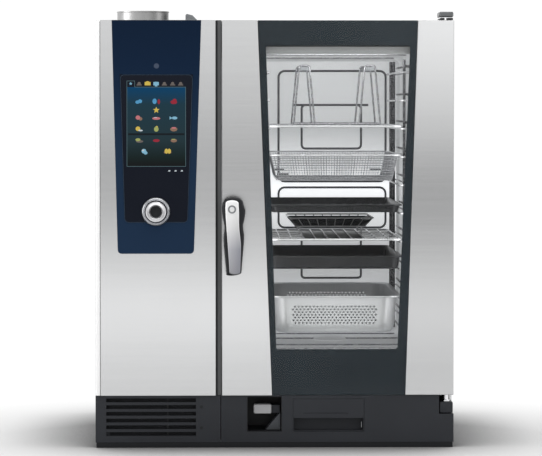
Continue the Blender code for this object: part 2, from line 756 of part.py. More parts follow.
def build_handle():
    pivot = (HANDLE_PIVOT[0], HANDLE_FRONT_Y, HANDLE_PIVOT[2])
    px, pz = HANDLE_PIVOT[0], HANDLE_PIVOT[2]
    face = leaf_outline((px, pz + 0.0085), 0.0165, (px + 0.014, pz - 0.147), 0.0120)
    plate = prism("Y", face, HANDLE_FRONT_Y, HANDLE_FRONT_Y + 0.012)
    grip = add_part("handle_grip", plate, "brushed_steel", pivot)
    bevel(grip, 0.003)
    back = leaf_outline((px + 0.001, pz + 0.0105), 0.0178, (px + 0.0145, pz - 0.1475), 0.0127)
    y0 = HANDLE_FRONT_Y + 0.012 + GAP
    backing = add_part("handle_backing", prism("Y", back, y0, y0 + 0.022), "black", pivot)
    boss = cylinder("Y", HANDLE_PIVOT, 0.0165, y0 + 0.020, FRONT_Y - 0.0006, ROUND)
    combine(backing, boss, "UNION")
    shaft_profile = [(HANDLE_SHAFT_RADIUS, FRONT_Y - 0.0002), (HANDLE_SHAFT_RADIUS, DOOR_BACK_Y + 0.003)]
    shaft = add_part("handle_shaft", turned("Y", HANDLE_PIVOT, shaft_profile, 16), "dark_steel", pivot)
    cam = [
        (px - 0.009, pz - 0.019),
        (px + 0.009, pz - 0.019),
        (px + 0.012, pz + 0.010),
        (px - 0.012, pz + 0.010),
    ]
    combine(shaft, prism("Y", cam, DOOR_BACK_Y + 0.001, DOOR_BACK_Y + 0.009), "UNION")


# ---------------------------------------------------------------- control panel

def build_fascia():
    outline = tapered_outline(FASCIA_TOP, FASCIA_BOTTOM, 0.009)
    fascia = add_part("control_fascia", prism("Y", outline, FASCIA_FRONT_Y, FASCIA_BACK_Y), "navy")
    pocket = tapered_outline(SCREEN_TOP, SCREEN_BOTTOM, 0.010, spread=GAP)
    pocket = [(x, z + GAP if z == SCREEN_TOP[2] else z) for x, z in pocket]
    combine(fascia, prism("Y", pocket, FASCIA_FRONT_Y - 0.010, SCREEN_BACK_Y + GAP), "DIFFERENCE")
    combine(fascia, cylinder("Y", DIAL_AXIS, 0.006, FRONT_Y - 0.020, FRONT_Y + 0.020, 16), "DIFFERENCE")
    screen = tapered_outline(SCREEN_TOP, SCREEN_BOTTOM, 0.010)
    glass = add_part("touch_screen", prism("Y", screen, SCREEN_FRONT_Y, SCREEN_BACK_Y), "black_glass")
    combine(glass, cylinder("Y", DIAL_AXIS, 0.006, FRONT_Y - 0.020, FRONT_Y + 0.020, 16), "DIFFERENCE")


def build_dial():
    face = SCREEN_FRONT_Y - GAP
    bezel = [
        (0.0255, face),
        (0.0340, face),
        (0.0335, face - 0.004),
        (0.0300, face - 0.008),
        (0.0262, face - 0.008),
    ]
    add_part("dial_bezel", turned("Y", DIAL_AXIS, bezel, 36, closed=True), "chrome", smooth=True)
    back = face - DIAL_TRAVEL - 0.001
    front = back - 0.014
    pivot = (DIAL_AXIS[0], back, DIAL_AXIS[2])
    knob = [
        (0.0050, front + 0.005),
        (0.0050, back),
        (0.0240, back),
        (0.0245, front + 0.003),
        (0.0225, front),
        (0.0180, front),
        (0.0160, front + 0.002),
    ]
    add_part("dial_knob", turned("Y", DIAL_AXIS, knob, 36), "chrome", pivot, smooth=True)
    plunger = cylinder("Y", DIAL_AXIS, 0.0045, front + 0.0055, FRONT_Y + 0.012, 16)
    add_part("dial_plunger", plunger, "dark_steel", pivot, smooth=True)


# ---------------------------------------------------------------- base

def build_base_grille():
    xs = (-HALF_WIDTH, -HALF_WIDTH + 0.008, *SLOT_X, -0.1288)
    ys = (BASE_FRONT_Y, BASE_FRONT_Y + 0.008, BASE_RETURN_Y)
    zs = [BASE_BOTTOM]
    for index in reversed(range(SLOTS)):
        middle = SLOT_TOP_Z - index * SLOT_PITCH
        zs += [middle - SLOT_HEIGHT / 2, middle + SLOT_HEIGHT / 2]
    zs.append(BASE_TOP - GAP)

    def is_solid(i, j, k):
        if j == 1:
            return i == 0
        return not (i == 2 and k % 2 == 1)

    add_part("base_grille", cells(xs, ys, zs, is_solid), "charcoal")


def build_air_filter():
    """The intake filter stands behind the louvres."""
    lo = (SLOT_X[0] - 0.004, BASE_FRONT_Y + 0.012, 0.024)
    hi = (SLOT_X[1] + 0.004, BASE_FRONT_Y + 0.022, BASE_TOP - 0.004)
    add_part("air_filter", box(lo, hi), "black")


def build_base_fascia():
    xs = (-0.1272, *SHOWER_X, *DRAWER_X, 0.3905, HALF_WIDTH - 0.008, HALF_WIDTH)
    ys = (BASE_FRONT_Y, BASE_FRONT_Y + 0.008, BASE_RETURN_Y)
    zs = (BASE_BOTTOM, DRAWER_Z[0], SHOWER_Z[0], 0.0795, DRAWER_Z[1], SHOWER_Z[1], BASE_TOP - GAP)

    def is_solid(i, j, k):
        if k >= 3 and i >= 5:
            return False
        if j == 1:
            return i == 6
        in_shower = i == 1 and 2 <= k <= 4
        in_drawer = i == 3 and 1 <= k <= 3
        return not (in_shower or in_drawer)

    add_part("base_fascia", cells(xs, ys, zs, is_solid), "charcoal")


def build_shower():
    wall = 0.0015
    room = wall + GAP
    xs = (SHOWER_X[0] + room, SHOWER_X[1] - room)
    zs = (SHOWER_Z[0] + room, SHOWER_Z[1] - room)
    housing = front_tub(xs, (BASE_FRONT_Y + 0.001, -0.230), zs, wall)
    add_part("shower_housing", housing, "black")
    middle_x, middle_z = -0.0287, 0.0900
    sections = ((0.0215, 0.0110, -0.336), (0.0215, 0.0110, -0.300), (0.0150, 0.0100, -0.240))
    loops = []
    for half_x, half_z, y in sections:
        outline = rounded_rectangle((middle_x, middle_z), (half_x, half_z), 0.003, 2)
        loops.append([(x, y, z) for x, z in outline])
    add_part("hand_shower", skin(loops), "light_grey", (middle_x, -0.336, middle_z))


def build_care_drawer():
    """The front's lower part stands back, so that fingers reach behind the upper part."""
    room = 0.0006
    x0, x1 = DRAWER_X[0] + room, DRAWER_X[1] - room
    z0, z1 = DRAWER_Z[0] + room, DRAWER_Z[1] - room
    wall = 0.002
    front, back = BASE_FRONT_Y - 0.0005, -0.187
    xs = (x0, x0 + wall, x1 - wall, x1)
    ys = (front, front + 0.0045, front + 0.0245, front + 0.0275, back - 0.003, back)
    zs = (z0, z0 + wall, 0.0696, z1)

    def is_solid(i, j, k):
        is_upper_front = j == 0 and k == 2
        is_grip_back_or_rear = j in (2, 4)
        is_side_or_floor = j > 0 and (k == 0 or i != 1)
        return is_upper_front or is_grip_back_or_rear or is_side_or_floor

    drawer = cells(xs, ys, zs, is_solid)
    add_part("care_drawer", drawer, "charcoal", ((x0 + x1) / 2, BASE_FRONT_Y, (z0 + z1) / 2))


# ---------------------------------------------------------------- assembly

def main():
    clear_scene()
    build_feet()
    build_base_plate()
    build_side_panels()
    build_covers()
    build_vents()
    build_control_column()
    build_front_frame()
    build_cavity()
    build_insulation()
    build_baffle()
    build_machinery()
    build_gasket()
    build_racks()
    build_wire_shelf("wire_shelf_upper", 8)
    build_wire_shelf("wire_shelf_lower", 4)
    build_poultry_stand()
    build_containers()
    build_door_skins()
    build_door_glass()
    build_door_frame()
    build_hinges()
    build_handle()
    build_fascia()
    build_dial()
    build_base_grille()
    build_air_filter()
    build_base_fascia()
    build_shower()
    build_care_drawer()


main()
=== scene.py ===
"""Looks of a combi steamer oven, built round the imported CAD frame. Metres, +Z up, front towards -Y."""

import math

import bmesh
import bpy
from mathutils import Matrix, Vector


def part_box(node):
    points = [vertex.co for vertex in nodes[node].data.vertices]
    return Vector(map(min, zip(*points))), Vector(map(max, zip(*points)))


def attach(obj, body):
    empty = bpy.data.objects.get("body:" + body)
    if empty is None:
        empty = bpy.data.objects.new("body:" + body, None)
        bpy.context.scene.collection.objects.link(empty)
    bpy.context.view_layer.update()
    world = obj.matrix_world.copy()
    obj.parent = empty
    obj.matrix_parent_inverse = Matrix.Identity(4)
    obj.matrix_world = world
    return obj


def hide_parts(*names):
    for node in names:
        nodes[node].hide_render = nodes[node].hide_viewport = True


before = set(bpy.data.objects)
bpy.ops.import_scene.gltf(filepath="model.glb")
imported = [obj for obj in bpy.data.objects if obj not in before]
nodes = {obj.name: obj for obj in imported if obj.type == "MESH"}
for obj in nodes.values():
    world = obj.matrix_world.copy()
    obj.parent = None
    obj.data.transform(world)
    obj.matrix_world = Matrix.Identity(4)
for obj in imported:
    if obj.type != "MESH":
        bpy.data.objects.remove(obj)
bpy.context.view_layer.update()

FLOOR_TONE = 0.68
CONTACT_REACH = 0.25  # how far the object darkens the floor beside it
CONTACT_DEPTH = 1.9
PAPER_WHITE = 1.05  # the white that the floor melts into
ROOM_LIGHT = 0.78


# ---------------------------------------------------------------- materials

class Finish:
    """The nodes of one material, fed by the object's own coordinates in metres."""

    def __init__(self, name, **values):
        self.material = bpy.data.materials.new(name)
        self.material.use_nodes = True
        tree = self.material.node_tree
        self.nodes, self.links = tree.nodes, tree.links
        self.shader = self.nodes["Principled BSDF"]
        for socket, value in values.items():
            self.shader.inputs[socket.replace("_", " ")].default_value = value

    def node(self, kind, **inputs):
        """Add a node; each input is a constant or another node's output."""
        made = self.nodes.new(kind)
        for name, value in inputs.items():
            socket = made.inputs[name.replace("_", " ")]
            if isinstance(value, bpy.types.NodeSocket):
                self.links.new(value, socket)
            else:
                socket.default_value = value
        return made

    def place(self, stretch=(1.0, 1.0, 1.0)):
        """Object coordinates, stretched along each axis."""
        coords = self.nodes.new("ShaderNodeTexCoord")
        mapping = self.node("ShaderNodeMapping", Vector=coords.outputs["Object"], Scale=stretch)
        return mapping.outputs["Vector"]

    def noise(self, scale, stretch=(1.0, 1.0, 1.0), detail=3.0):
        """Cloudy noise from 0 to 1."""
        vector = self.place(stretch)
        return self.node("ShaderNodeTexNoise", Vector=vector, Scale=scale, Detail=detail).outputs["Fac"]

    def spots(self, scale, size, softness=0.05):
        """1 inside round spots scattered at the scale, 0 between them."""
        cells = self.node("ShaderNodeTexVoronoi", Vector=self.place(), Scale=scale)
        return self.remap(cells.outputs["Distance"], 1.0, 0.0, size, size + softness)

    def height(self):
        """The height above the floor, in metres."""
        parts = self.node("ShaderNodeSeparateXYZ", Vector=self.place())
        return parts.outputs["Z"]

    def remap(self, value, low, high, start=0.3, end=0.7):
        """Map a value between start and end to low and high."""
        node = self.node(
            "ShaderNodeMapRange", Value=value, From_Min=start, From_Max=end, To_Min=low, To_Max=high
        )
        return node.outputs["Result"]

    def times(self, first, second, operation="MULTIPLY"):
        """Two values multiplied, or joined by another operation."""
        node = self.nodes.new("ShaderNodeMath")
        node.operation = operation
        for socket, value in zip(node.inputs, (first, second)):
            if isinstance(value, bpy.types.NodeSocket):
                self.links.new(value, socket)
            else:
                socket.default_value = value
        return node.outputs["Value"]

    def shades(self, value, stops):
        """A colour from a value, by stops of (place, colour)."""
        node = self.node("ShaderNodeValToRGB", Fac=value)
        elements = node.color_ramp.elements
        while len(elements) < len(stops):
            elements.new(0.5)
        for element, (place, colour) in zip(elements, stops):
            element.position = place
            element.color = (*colour, 1.0)
        return node.outputs["Color"]

    def blend(self, share, first, second):
        """A colour between two colours."""
        node = self.nodes.new("ShaderNodeMix")
        node.data_type = "RGBA"
        self.links.new(share, node.inputs["Factor"])
        for index, value in ((6, first), (7, second)):
            if isinstance(value, bpy.types.NodeSocket):
                self.links.new(value, node.inputs[index])
            else:
                node.inputs[index].default_value = (*value, 1.0)
        return node.outputs[2]

    def feed(self, **outputs):
        """Link outputs to the shader's sockets."""
        for socket, output in outputs.items():
            self.links.new(output, self.shader.inputs[socket.replace("_", " ")])

    def bump(self, height, distance, strength=1.0):
        """Relief from a height between 0 and 1, as deep as the distance."""
        node = self.node("ShaderNodeBump", Height=height, Distance=distance, Strength=strength)
        self.feed(Normal=node.outputs["Normal"])


def grey(value):
    """A neutral colour."""
    return (value, value, value)


def brushed(name, along, colour, roughness, depth=0.00002, metallic=1.0):
    """The nodes of sheet steel with a fine grain along one axis and cloudy wipe marks."""
    stretch = [700.0, 700.0, 700.0]
    stretch["XYZ".index(along)] = 5.0
    finish = Finish(name, Metallic=metallic)
    fine = finish.noise(1.0, stretch)
    bands = finish.noise(0.12, stretch)
    clouds = finish.noise(3.0)
    grain = finish.times(finish.times(fine, 0.6), finish.times(bands, 0.4), "ADD")
    light = [min(1.0, channel * 1.015) for channel in colour]
    dark = [channel * 0.98 for channel in colour]
    finish.feed(
        Base_Color=finish.blend(finish.remap(grain, 0.0, 1.0, 0.35, 0.65), dark, light),
        Roughness=finish.times(
            finish.remap(grain, roughness * 0.96, roughness * 1.04, 0.35, 0.65),
            finish.remap(clouds, 0.96, 1.05),
        ),
    )
    finish.bump(grain, depth, 0.25)
    return finish


def brushed_steel(*args, **settings):
    """Brushed sheet steel; it takes what brushed() takes."""
    return brushed(*args, **settings).material


def plain_metal(name, colour, roughness, mottle=60.0, depth=0.00005, metallic=1.0):
    """Smooth or cast metal with a mottled surface."""
    finish = Finish(name, Metallic=metallic)
    mottled = finish.noise(mottle, detail=5.0)
    dark = [channel * 0.85 for channel in colour]
    finish.feed(
        Base_Color=finish.blend(finish.remap(mottled, 0.0, 1.0), dark, colour),
        Roughness=finish.remap(mottled, roughness * 0.8, roughness * 1.25),
    )
    finish.bump(mottled, depth, 0.5)
    return finish.material


def moulded_plastic(name, colour, roughness, grain=900.0, depth=0.00008, specular=0.5):
    """Moulded plastic: a fine spark-eroded texture, faint flow shading and rubbed patches."""
    finish = Finish(name, Specular_IOR_Level=specular)
    fine = finish.noise(grain, detail=2.0)
    clouds = finish.noise(7.0)
    dark = [channel * 0.88 for channel in colour]
    light = [channel * 1.10 for channel in colour]
    finish.feed(
        Base_Color=finish.blend(finish.remap(clouds, 0.0, 1.0), dark, light),
        Roughness=finish.times(
            finish.remap(fine, roughness * 0.9, roughness * 1.1),
            finish.remap(clouds, 0.92, 1.06),
        ),
    )
    finish.bump(fine, depth, 0.6)
    return finish.material


def granite_enamel(name, front, back):
    """Dark enamel with fine light and dark specks, and painted light and shade: darker at the door, lighter
    towards the back.
    """
    finish = Finish(name, Specular_IOR_Level=0.25, Coat_Weight=0.10, Coat_Roughness=0.25)
    place = finish.node("ShaderNodeSeparateXYZ", Vector=finish.place())
    # Painted light and shade: the tone lightens from the front of the pan to its back.
    depth = finish.remap(place.outputs["Y"], 0.0, 1.0, -0.22, 0.20)
    specks = finish.spots(420.0, 0.16)
    pits = finish.spots(260.0, 0.12)
    tone = finish.blend(depth, (front * 0.97, front, front * 1.12), (back * 0.97, back, back * 1.06))
    base = finish.blend(finish.times(finish.noise(30.0), 0.30), tone, grey(0.012))
    speckled = finish.blend(finish.times(specks, 0.45), base, (0.26, 0.27, 0.29))
    finish.feed(
        Base_Color=finish.blend(pits, speckled, (0.012, 0.012, 0.014)),
        Roughness=finish.remap(finish.noise(40.0), 0.30, 0.42),
    )
    finish.bump(finish.noise(350.0, detail=2.0), 0.00010, 0.4)
    return finish.material


def lit_steel(name, glows):
    """Bright inner steel with the cavity lamps' light painted in as a glow, by stops of (height, glow)."""
    finish = brushed(name, "X", CLEAN_STEEL, 0.45, metallic=0.5)
    low, high = glows[0][0], glows[-1][0]
    rise = finish.remap(finish.height(), 0.0, 1.0, low, high)
    stops = [((z - low) / (high - low), (glow * 0.97, glow * 0.98, glow)) for z, glow in glows]
    finish.feed(Emission_Color=finish.shades(rise, stops))
    finish.shader.inputs["Emission Strength"].default_value = 1.0
    return finish.material


def handle_steel_painted_shade(name):
    """Satin cast steel with painted light and shade: bright at the top of the lever, darker towards its end
    and on its right side.
    """
    finish = Finish(name, Metallic=0.35)
    low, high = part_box("handle_grip")
    place = finish.node("ShaderNodeSeparateXYZ", Vector=finish.place())
    rise = finish.remap(place.outputs["Z"], 0.0, 1.0, low.z, high.z)
    across = finish.remap(place.outputs["X"], 0.0, 1.0, low.x + 0.012, high.x - 0.004)
    # Painted light and shade: both ramps darken down the lever; the right-hand one is darker still.
    left = finish.shades(
        rise,
        [(0.0, (0.30, 0.30, 0.32)), (0.35, (0.44, 0.44, 0.47)), (0.66, grey(0.80)), (0.90, grey(0.97))],
    )
    right = finish.shades(
        rise,
        [(0.0, (0.22, 0.22, 0.25)), (0.35, (0.27, 0.28, 0.32)), (0.66, grey(0.62)), (0.90, grey(0.90))],
    )
    mottled = finish.noise(60.0, (1.0, 1.0, 0.2), detail=4.0)
    finish.feed(
        Base_Color=finish.blend(across, left, right),
        Roughness=finish.remap(mottled, 0.30, 0.36),
    )
    finish.bump(mottled, 0.00003, 0.3)
    return finish.material


def pipe_painted_shade(name):
    """Thin tube with painted light and shade: bright on its left and dark on its right."""
    finish = Finish(name, Metallic=1.0)
    low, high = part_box("vent_pipe")
    across = finish.node("ShaderNodeSeparateXYZ", Vector=finish.place()).outputs["X"]
    share = finish.remap(across, 0.0, 1.0, low.x, high.x)
    # Painted shade: the pipe's colour darkens from its left to its right.
    stops = [(0.0, grey(0.56)), (0.30, grey(0.50)), (0.65, grey(0.27)), (1.0, grey(0.16))]
    tone = finish.shades(share, stops)
    cloud = finish.noise(20.0)
    finish.feed(
        Base_Color=finish.blend(finish.remap(cloud, 0.0, 0.10), tone, (0.40, 0.38, 0.36)),
        Roughness=finish.remap(cloud, 0.28, 0.36),
    )
    return finish.material


def clear_glass(name, tint, ior):
    """Glass with a faint wipe haze; lamps shine through it without being bent."""
    finish = Finish(name, Transmission_Weight=1.0, IOR=ior)
    haze = finish.noise(9.0, detail=4.0)
    finish.feed(
        Roughness=finish.remap(haze, 0.0, 0.012, 0.55, 0.75),
        Base_Color=finish.blend(finish.noise(2.0), tint, (1.0, 1.0, 1.0)),
    )
    clear = finish.node("ShaderNodeBsdfTransparent", Color=(*tint, 1.0))
    path = finish.nodes.new("ShaderNodeLightPath")
    mix = finish.node("ShaderNodeMixShader", Fac=path.outputs["Is Shadow Ray"])
    finish.links.new(finish.shader.outputs["BSDF"], mix.inputs[1])
    finish.links.new(clear.outputs["BSDF"], mix.inputs[2])
    finish.links.new(mix.outputs["Shader"], finish.nodes["Material Output"].inputs["Surface"])
    return finish.material


def navy_panel_painted_reflection(name):
    """Satin navy lacquer with a painted reflection that makes it lighter towards the bottom, and a fine
    metallic shimmer.
    """
    finish = Finish(name, Specular_IOR_Level=0.04)
    rise = finish.remap(finish.height(), 0.0, 1.0, 0.46, 1.02)
    # Painted reflection: the lacquer's colour lightens towards the panel's bottom.
    lacquer = finish.shades(
        rise,
        [
            (0.0, (0.0115, 0.0275, 0.0600)),
            (0.45, (0.0105, 0.0260, 0.0560)),
            (0.80, (0.0042, 0.0140, 0.0370)),
            (1.0, (0.0032, 0.0110, 0.0290)),
        ],
    )
    flakes = finish.noise(1500.0, detail=1.0)
    finish.feed(
        Base_Color=finish.blend(finish.remap(flakes, 0.0, 0.03), lacquer, (0.10, 0.14, 0.22)),
        Roughness=finish.remap(finish.noise(12.0), 0.34, 0.42),
    )
    finish.bump(flakes, 0.00002, 0.4)
    return finish.material


def shaded_plastic(name, low, high, dark, light):
    """Moulded plastic in a recess, with painted shade on its left and painted light on its right."""
    finish = Finish(name, Specular_IOR_Level=0.15)
    place = finish.node("ShaderNodeSeparateXYZ", Vector=finish.place())
    # Painted light and shade: the colour runs from dark to light across the part and up it.
    share = finish.times(
        finish.remap(place.outputs["X"], 0.0, 1.0, low[0], high[0]),
        finish.remap(place.outputs["Z"], 0.25, 1.0, low[1], high[1]),
    )
    fine = finish.noise(900.0, detail=2.0)
    finish.feed(
        Base_Color=finish.blend(share, dark, light),
        Roughness=finish.remap(fine, 0.48, 0.56),
    )
    finish.bump(fine, 0.00008, 0.6)
    return finish.material


def black_glass(name):
    """Printed glass of the touch screen, with faint finger marks."""
    finish = Finish(name, Specular_IOR_Level=0.08)
    marks = finish.noise(35.0, detail=5.0)
    finish.feed(
        Base_Color=finish.blend(finish.noise(6.0), (0.0060, 0.0080, 0.0140), (0.0090, 0.0110, 0.0180)),
        Roughness=finish.remap(marks, 0.04, 0.16, 0.45, 0.75),
    )
    return finish.material


def glowing(name, colour, strength, edge=0.7):
    """A lit part of the display or a lamp's diffuser, a little uneven."""
    finish = Finish(
        name,
        Base_Color=(0.0, 0.0, 0.0, 1.0),
        Roughness=0.3,
        Emission_Strength=strength,
        Specular_IOR_Level=0.05,
    )
    dim = [channel * edge for channel in colour]
    finish.feed(Emission_Color=finish.blend(finish.noise(140.0), dim, colour))
    return finish.material


def display_page(name):
    """The lit page: blue at the top, slate in the middle, nearly black at the bottom."""
    finish = Finish(
        name,
        Base_Color=(0.0, 0.0, 0.0, 1.0),
        Roughness=0.2,
        Emission_Strength=1.0,
        Specular_IOR_Level=0.05,
    )
    low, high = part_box("touch_screen")
    rise = finish.remap(finish.height(), 0.0, 1.0, low.z, high.z)
    glow = finish.shades(
        rise,
        [
            (0.38, (0.009, 0.009, 0.010)),
            (0.44, (0.010, 0.018, 0.018)),
            (0.56, (0.018, 0.036, 0.044)),
            (0.80, (0.014, 0.040, 0.058)),
            (0.94, (0.001, 0.052, 0.140)),
        ],
    )
    finish.feed(Emission_Color=glow)
    return finish.material


def rubber(name, colour):
    """Silicone rubber with a dusty bloom."""
    finish = Finish(name, Specular_IOR_Level=0.35, Sheen_Weight=0.15)
    bloom = finish.noise(18.0, detail=5.0)
    light = [channel * 1.5 for channel in colour]
    finish.feed(
        Base_Color=finish.blend(finish.remap(bloom, 0.0, 1.0), colour, light),
        Roughness=finish.remap(bloom, 0.55, 0.75),
    )
    finish.bump(finish.noise(600.0), 0.00006, 0.5)
    return finish.material


def mineral_wool(name):
    """Yellow-brown insulation of matted fibres."""
    finish = Finish(name, Roughness=0.95, Sheen_Weight=0.4)
    fibres = finish.noise(220.0, (1.0, 0.25, 1.0), detail=6.0)
    finish.feed(Base_Color=finish.shades(fibres, [(0.3, (0.33, 0.27, 0.14)), (0.7, (0.62, 0.55, 0.36))]))
    finish.bump(fibres, 0.003, 1.0)
    return finish.material


def circuit_housing(name):
    """The electronics box: galvanised sheet with printed-board green showing in patches."""
    finish = Finish(name, Metallic=0.3)
    spangle = finish.node("ShaderNodeTexVoronoi", Vector=finish.place(), Scale=70.0)
    shade = finish.remap(spangle.outputs["Distance"], 0.0, 1.0, 0.0, 0.8)
    finish.feed(
        Base_Color=finish.blend(shade, (0.16, 0.19, 0.20), (0.28, 0.31, 0.30)),
        Roughness=finish.remap(shade, 0.35, 0.55, 0.0, 1.0),
    )
    return finish.material


def filter_foam(name):
    """Open-cell filter foam."""
    finish = Finish(name, Roughness=0.9)
    pores = finish.node("ShaderNodeTexVoronoi", Vector=finish.place(), Scale=500.0).outputs["Distance"]
    finish.feed(Base_Color=finish.shades(pores, [(0.1, (0.002, 0.002, 0.003)), (0.7, (0.014, 0.015, 0.018))]))
    finish.bump(pores, 0.001, 1.0)
    return finish.material


STEEL = (0.66, 0.665, 0.67)
CLEAN_STEEL = (0.74, 0.745, 0.75)

materials = {
    "steel_front": brushed_steel("steel_front", "X", STEEL, 0.20),
    "steel_side": brushed_steel("steel_side", "Y", STEEL, 0.27),
    "steel_inner": brushed_steel("steel_inner", "Y", CLEAN_STEEL, 0.42, metallic=0.65),
    # Painted light: the cavity steel and the back plate glow by height in place of the cavity lamps' light.
    "cavity_steel_painted_glow": lit_steel("cavity_steel_painted_glow", [(0.20, 0.10), (0.50, 0.14), (0.95, 0.17)]),
    "back_plate_painted_glow": lit_steel(
        "back_plate_painted_glow",
        [
            (0.22, 0.30),
            (0.42, 0.32),
            (0.53, 0.66),
            (0.60, 0.92),
            (0.65, 0.60),
            (0.74, 0.25),
            (0.80, 0.24),
            (0.93, 0.25),
        ],
    ),
    "steel_flange": brushed_steel("steel_flange", "X", (0.40, 0.405, 0.41), 0.40),
    "steel_pan": brushed_steel("steel_pan", "Z", (0.84, 0.845, 0.86), 0.46, metallic=0.55),
    # Painted highlight: near-white matte strip in place of the shine on the panel's rounded edge.
    "painted_highlight_edge": brushed_steel("painted_highlight_edge", "Z", (0.97, 0.97, 0.97), 0.50, metallic=0.0),
    "handle_steel_painted_shade": handle_steel_painted_shade("handle_steel_painted_shade"),
    # Dark metal for the pressed beads: the beads are real, their dark colour is painted shade for the dark
    # lines the grooves show.
    "bead": plain_metal("bead", (0.20, 0.20, 0.21), 0.35),
    "wire": plain_metal("wire", (0.88, 0.88, 0.90), 0.22, metallic=0.55),
    "mesh_wire": plain_metal("mesh_wire", (0.58, 0.58, 0.61), 0.35, metallic=0.35),
    # Dark wire: for the rack's uprights and guards a shaded copy of the steel wire, painted shade where they
    # stand in shadow; the trays' rolled edges use it too.
    "rack_wire": plain_metal("rack_wire", (0.17, 0.17, 0.18), 0.25),
    "soft_wire": plain_metal("soft_wire", (0.45, 0.45, 0.47), 0.25),
    "dark_steel": plain_metal("dark_steel", (0.26, 0.27, 0.28), 0.42),
    "alloy": plain_metal("alloy", (0.16, 0.165, 0.17), 0.45),
    "cast": plain_metal("cast", (0.085, 0.087, 0.090), 0.5, 90.0, 0.0002),
    "cast_motor": plain_metal("cast_motor", (0.24, 0.25, 0.26), 0.55, 90.0, 0.0003),
    "ring": plain_metal("ring", (0.50, 0.51, 0.53), 0.30, 30.0, 0.00001),
    "pipe": pipe_painted_shade("pipe"),
    "chrome": plain_metal("chrome", (0.86, 0.86, 0.88), 0.10, 30.0, 0.00001),
    "heater": plain_metal("heater", (0.20, 0.17, 0.15), 0.5),
    "charcoal": moulded_plastic("charcoal", (0.0290, 0.0312, 0.0365), 0.50, specular=0.20),
    "black": moulded_plastic("black", (0.008, 0.009, 0.011), 0.42, specular=0.30),
    "post_grey": moulded_plastic("post_grey", (0.085, 0.088, 0.090), 0.45),
    "print": moulded_plastic("print", (0.0180, 0.0250, 0.0310), 0.45, depth=0.00001, specular=0.10),
    "light_grey": moulded_plastic("light_grey", (0.42, 0.42, 0.43), 0.45),
    "navy": navy_panel_painted_reflection("navy"),
    "black_glass": black_glass("black_glass"),
    "glass_outer": clear_glass("glass_outer", (0.985, 0.995, 0.99), 1.16),
    "glass_inner": clear_glass("glass_inner", (0.99, 1.0, 0.995), 1.10),
    "glass_edge": moulded_plastic("glass_edge", (0.045, 0.075, 0.115), 0.40, depth=0.00001, specular=0.1),
    "enamel": granite_enamel("enamel", 0.028, 0.060),
    "liner": granite_enamel("liner", 0.050, 0.060),
    "recess_plastic_painted_light": shaded_plastic(
        "recess_plastic_painted_light", (-0.049, 0.024), (-0.018, 0.060), grey(0.008), (0.075, 0.080, 0.088)
    ),
    "silicone": rubber("silicone", (0.016, 0.016, 0.018)),
    "wool": mineral_wool("wool"),
    "circuit": circuit_housing("circuit"),
    "foam": filter_foam("foam"),
    "lamp": glowing("lamp", (1.0, 0.98, 0.92), 0.8, 0.9),
    "page": display_page("page"),
}


# ---------------------------------------------------------------- modelling tools

def piece(name, bm, body, material, replaces=(), smooth=True, angle=35.0):
    """Make an object from a bmesh in the row frame and let it ride on a body."""
    bmesh.ops.recalc_face_normals(bm, faces=bm.faces)
    mesh = bpy.data.meshes.new(name)
    bm.to_mesh(mesh)
    bm.free()
    if smooth:
        mesh.shade_smooth()
        mesh.set_sharp_from_angle(angle=math.radians(angle))
    mesh.materials.append(materials[material])
    obj = bpy.data.objects.new(name, mesh)
    bpy.context.scene.collection.objects.link(obj)
    settle(obj, body, replaces)
    return obj


def settle(obj, body, replaces):
    """Let an object ride on its body, and hide the CAD nodes that it stands for."""
    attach(obj, body)
    if replaces:
        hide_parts(*replaces)


def wires(name, paths, radius, body, material, replaces=(), sides=3):
    """Round wires along paths, each a list of points and whether it is closed."""
    curve = bpy.data.curves.new(name, "CURVE")
    curve.dimensions = "3D"
    curve.bevel_depth = radius
    curve.bevel_resolution = sides
    curve.use_fill_caps = True
    for points, closed in paths:
        spline = curve.splines.new("POLY")
        spline.points.add(len(points) - 1)
        for point, place in zip(spline.points, points):
            point.co = (*place, 1.0)
        spline.use_cyclic_u = closed
    curve.materials.append(materials[material])
    obj = bpy.data.objects.new(name, curve)
    bpy.context.scene.collection.objects.link(obj)
    settle(obj, body, replaces)
    return obj


def bevel(obj, width, segments=2, angle=40.0):
    """Round an object's sharp edges."""
    modifier = obj.modifiers.new("edge_rounding", "BEVEL")
    modifier.width = width
    modifier.segments = segments
    modifier.limit_method = "ANGLE"
    modifier.angle_limit = math.radians(angle)
    modifier.harden_normals = True


def filleted(points, radius, closed=False, steps=5):
    """The points joined by straight runs, with each bend rounded by an arc."""
    points = [Vector(point) for point in points]
    count = len(points)
    path = []
    for index, corner in enumerate(points):
        if not closed and index in (0, count - 1):
            path.append(tuple(corner))
            continue
        before = points[index - 1] - corner
        after = points[(index + 1) % count] - corner
        half = before.angle(after) / 2
        reach = min(radius / math.tan(half), before.length * 0.49, after.length * 0.49)
        radius_here = reach * math.tan(half)
        middle = (before.normalized() + after.normalized()).normalized()
        centre = corner + middle * (radius_here / math.sin(half))
        start = corner + before.normalized() * reach - centre
        end = corner + after.normalized() * reach - centre
        sweep = math.pi - 2 * half
        for step in range(steps + 1):
            turn = sweep * step / steps
            arm = start * math.sin(sweep - turn) + end * math.sin(turn)
            path.append(tuple(centre + arm / math.sin(sweep)))
    return path


def loft(loops, closed=False, caps=True):
    """A surface through loops of equally many points."""
    bm = bmesh.new()
    rings = [[bm.verts.new(point) for point in loop] for loop in loops]
    pairs = list(zip(rings, rings[1:]))
    if closed:
        pairs.append((rings[-1], rings[0]))
    elif caps:
        bm.faces.new(rings[0])
        bm.faces.new(rings[-1])
    for lower, upper in pairs:
        for i, corner in enumerate(lower):
            j = (i + 1) % len(lower)
            bm.faces.new((corner, lower[j], upper[j], upper[i]))
    return bm


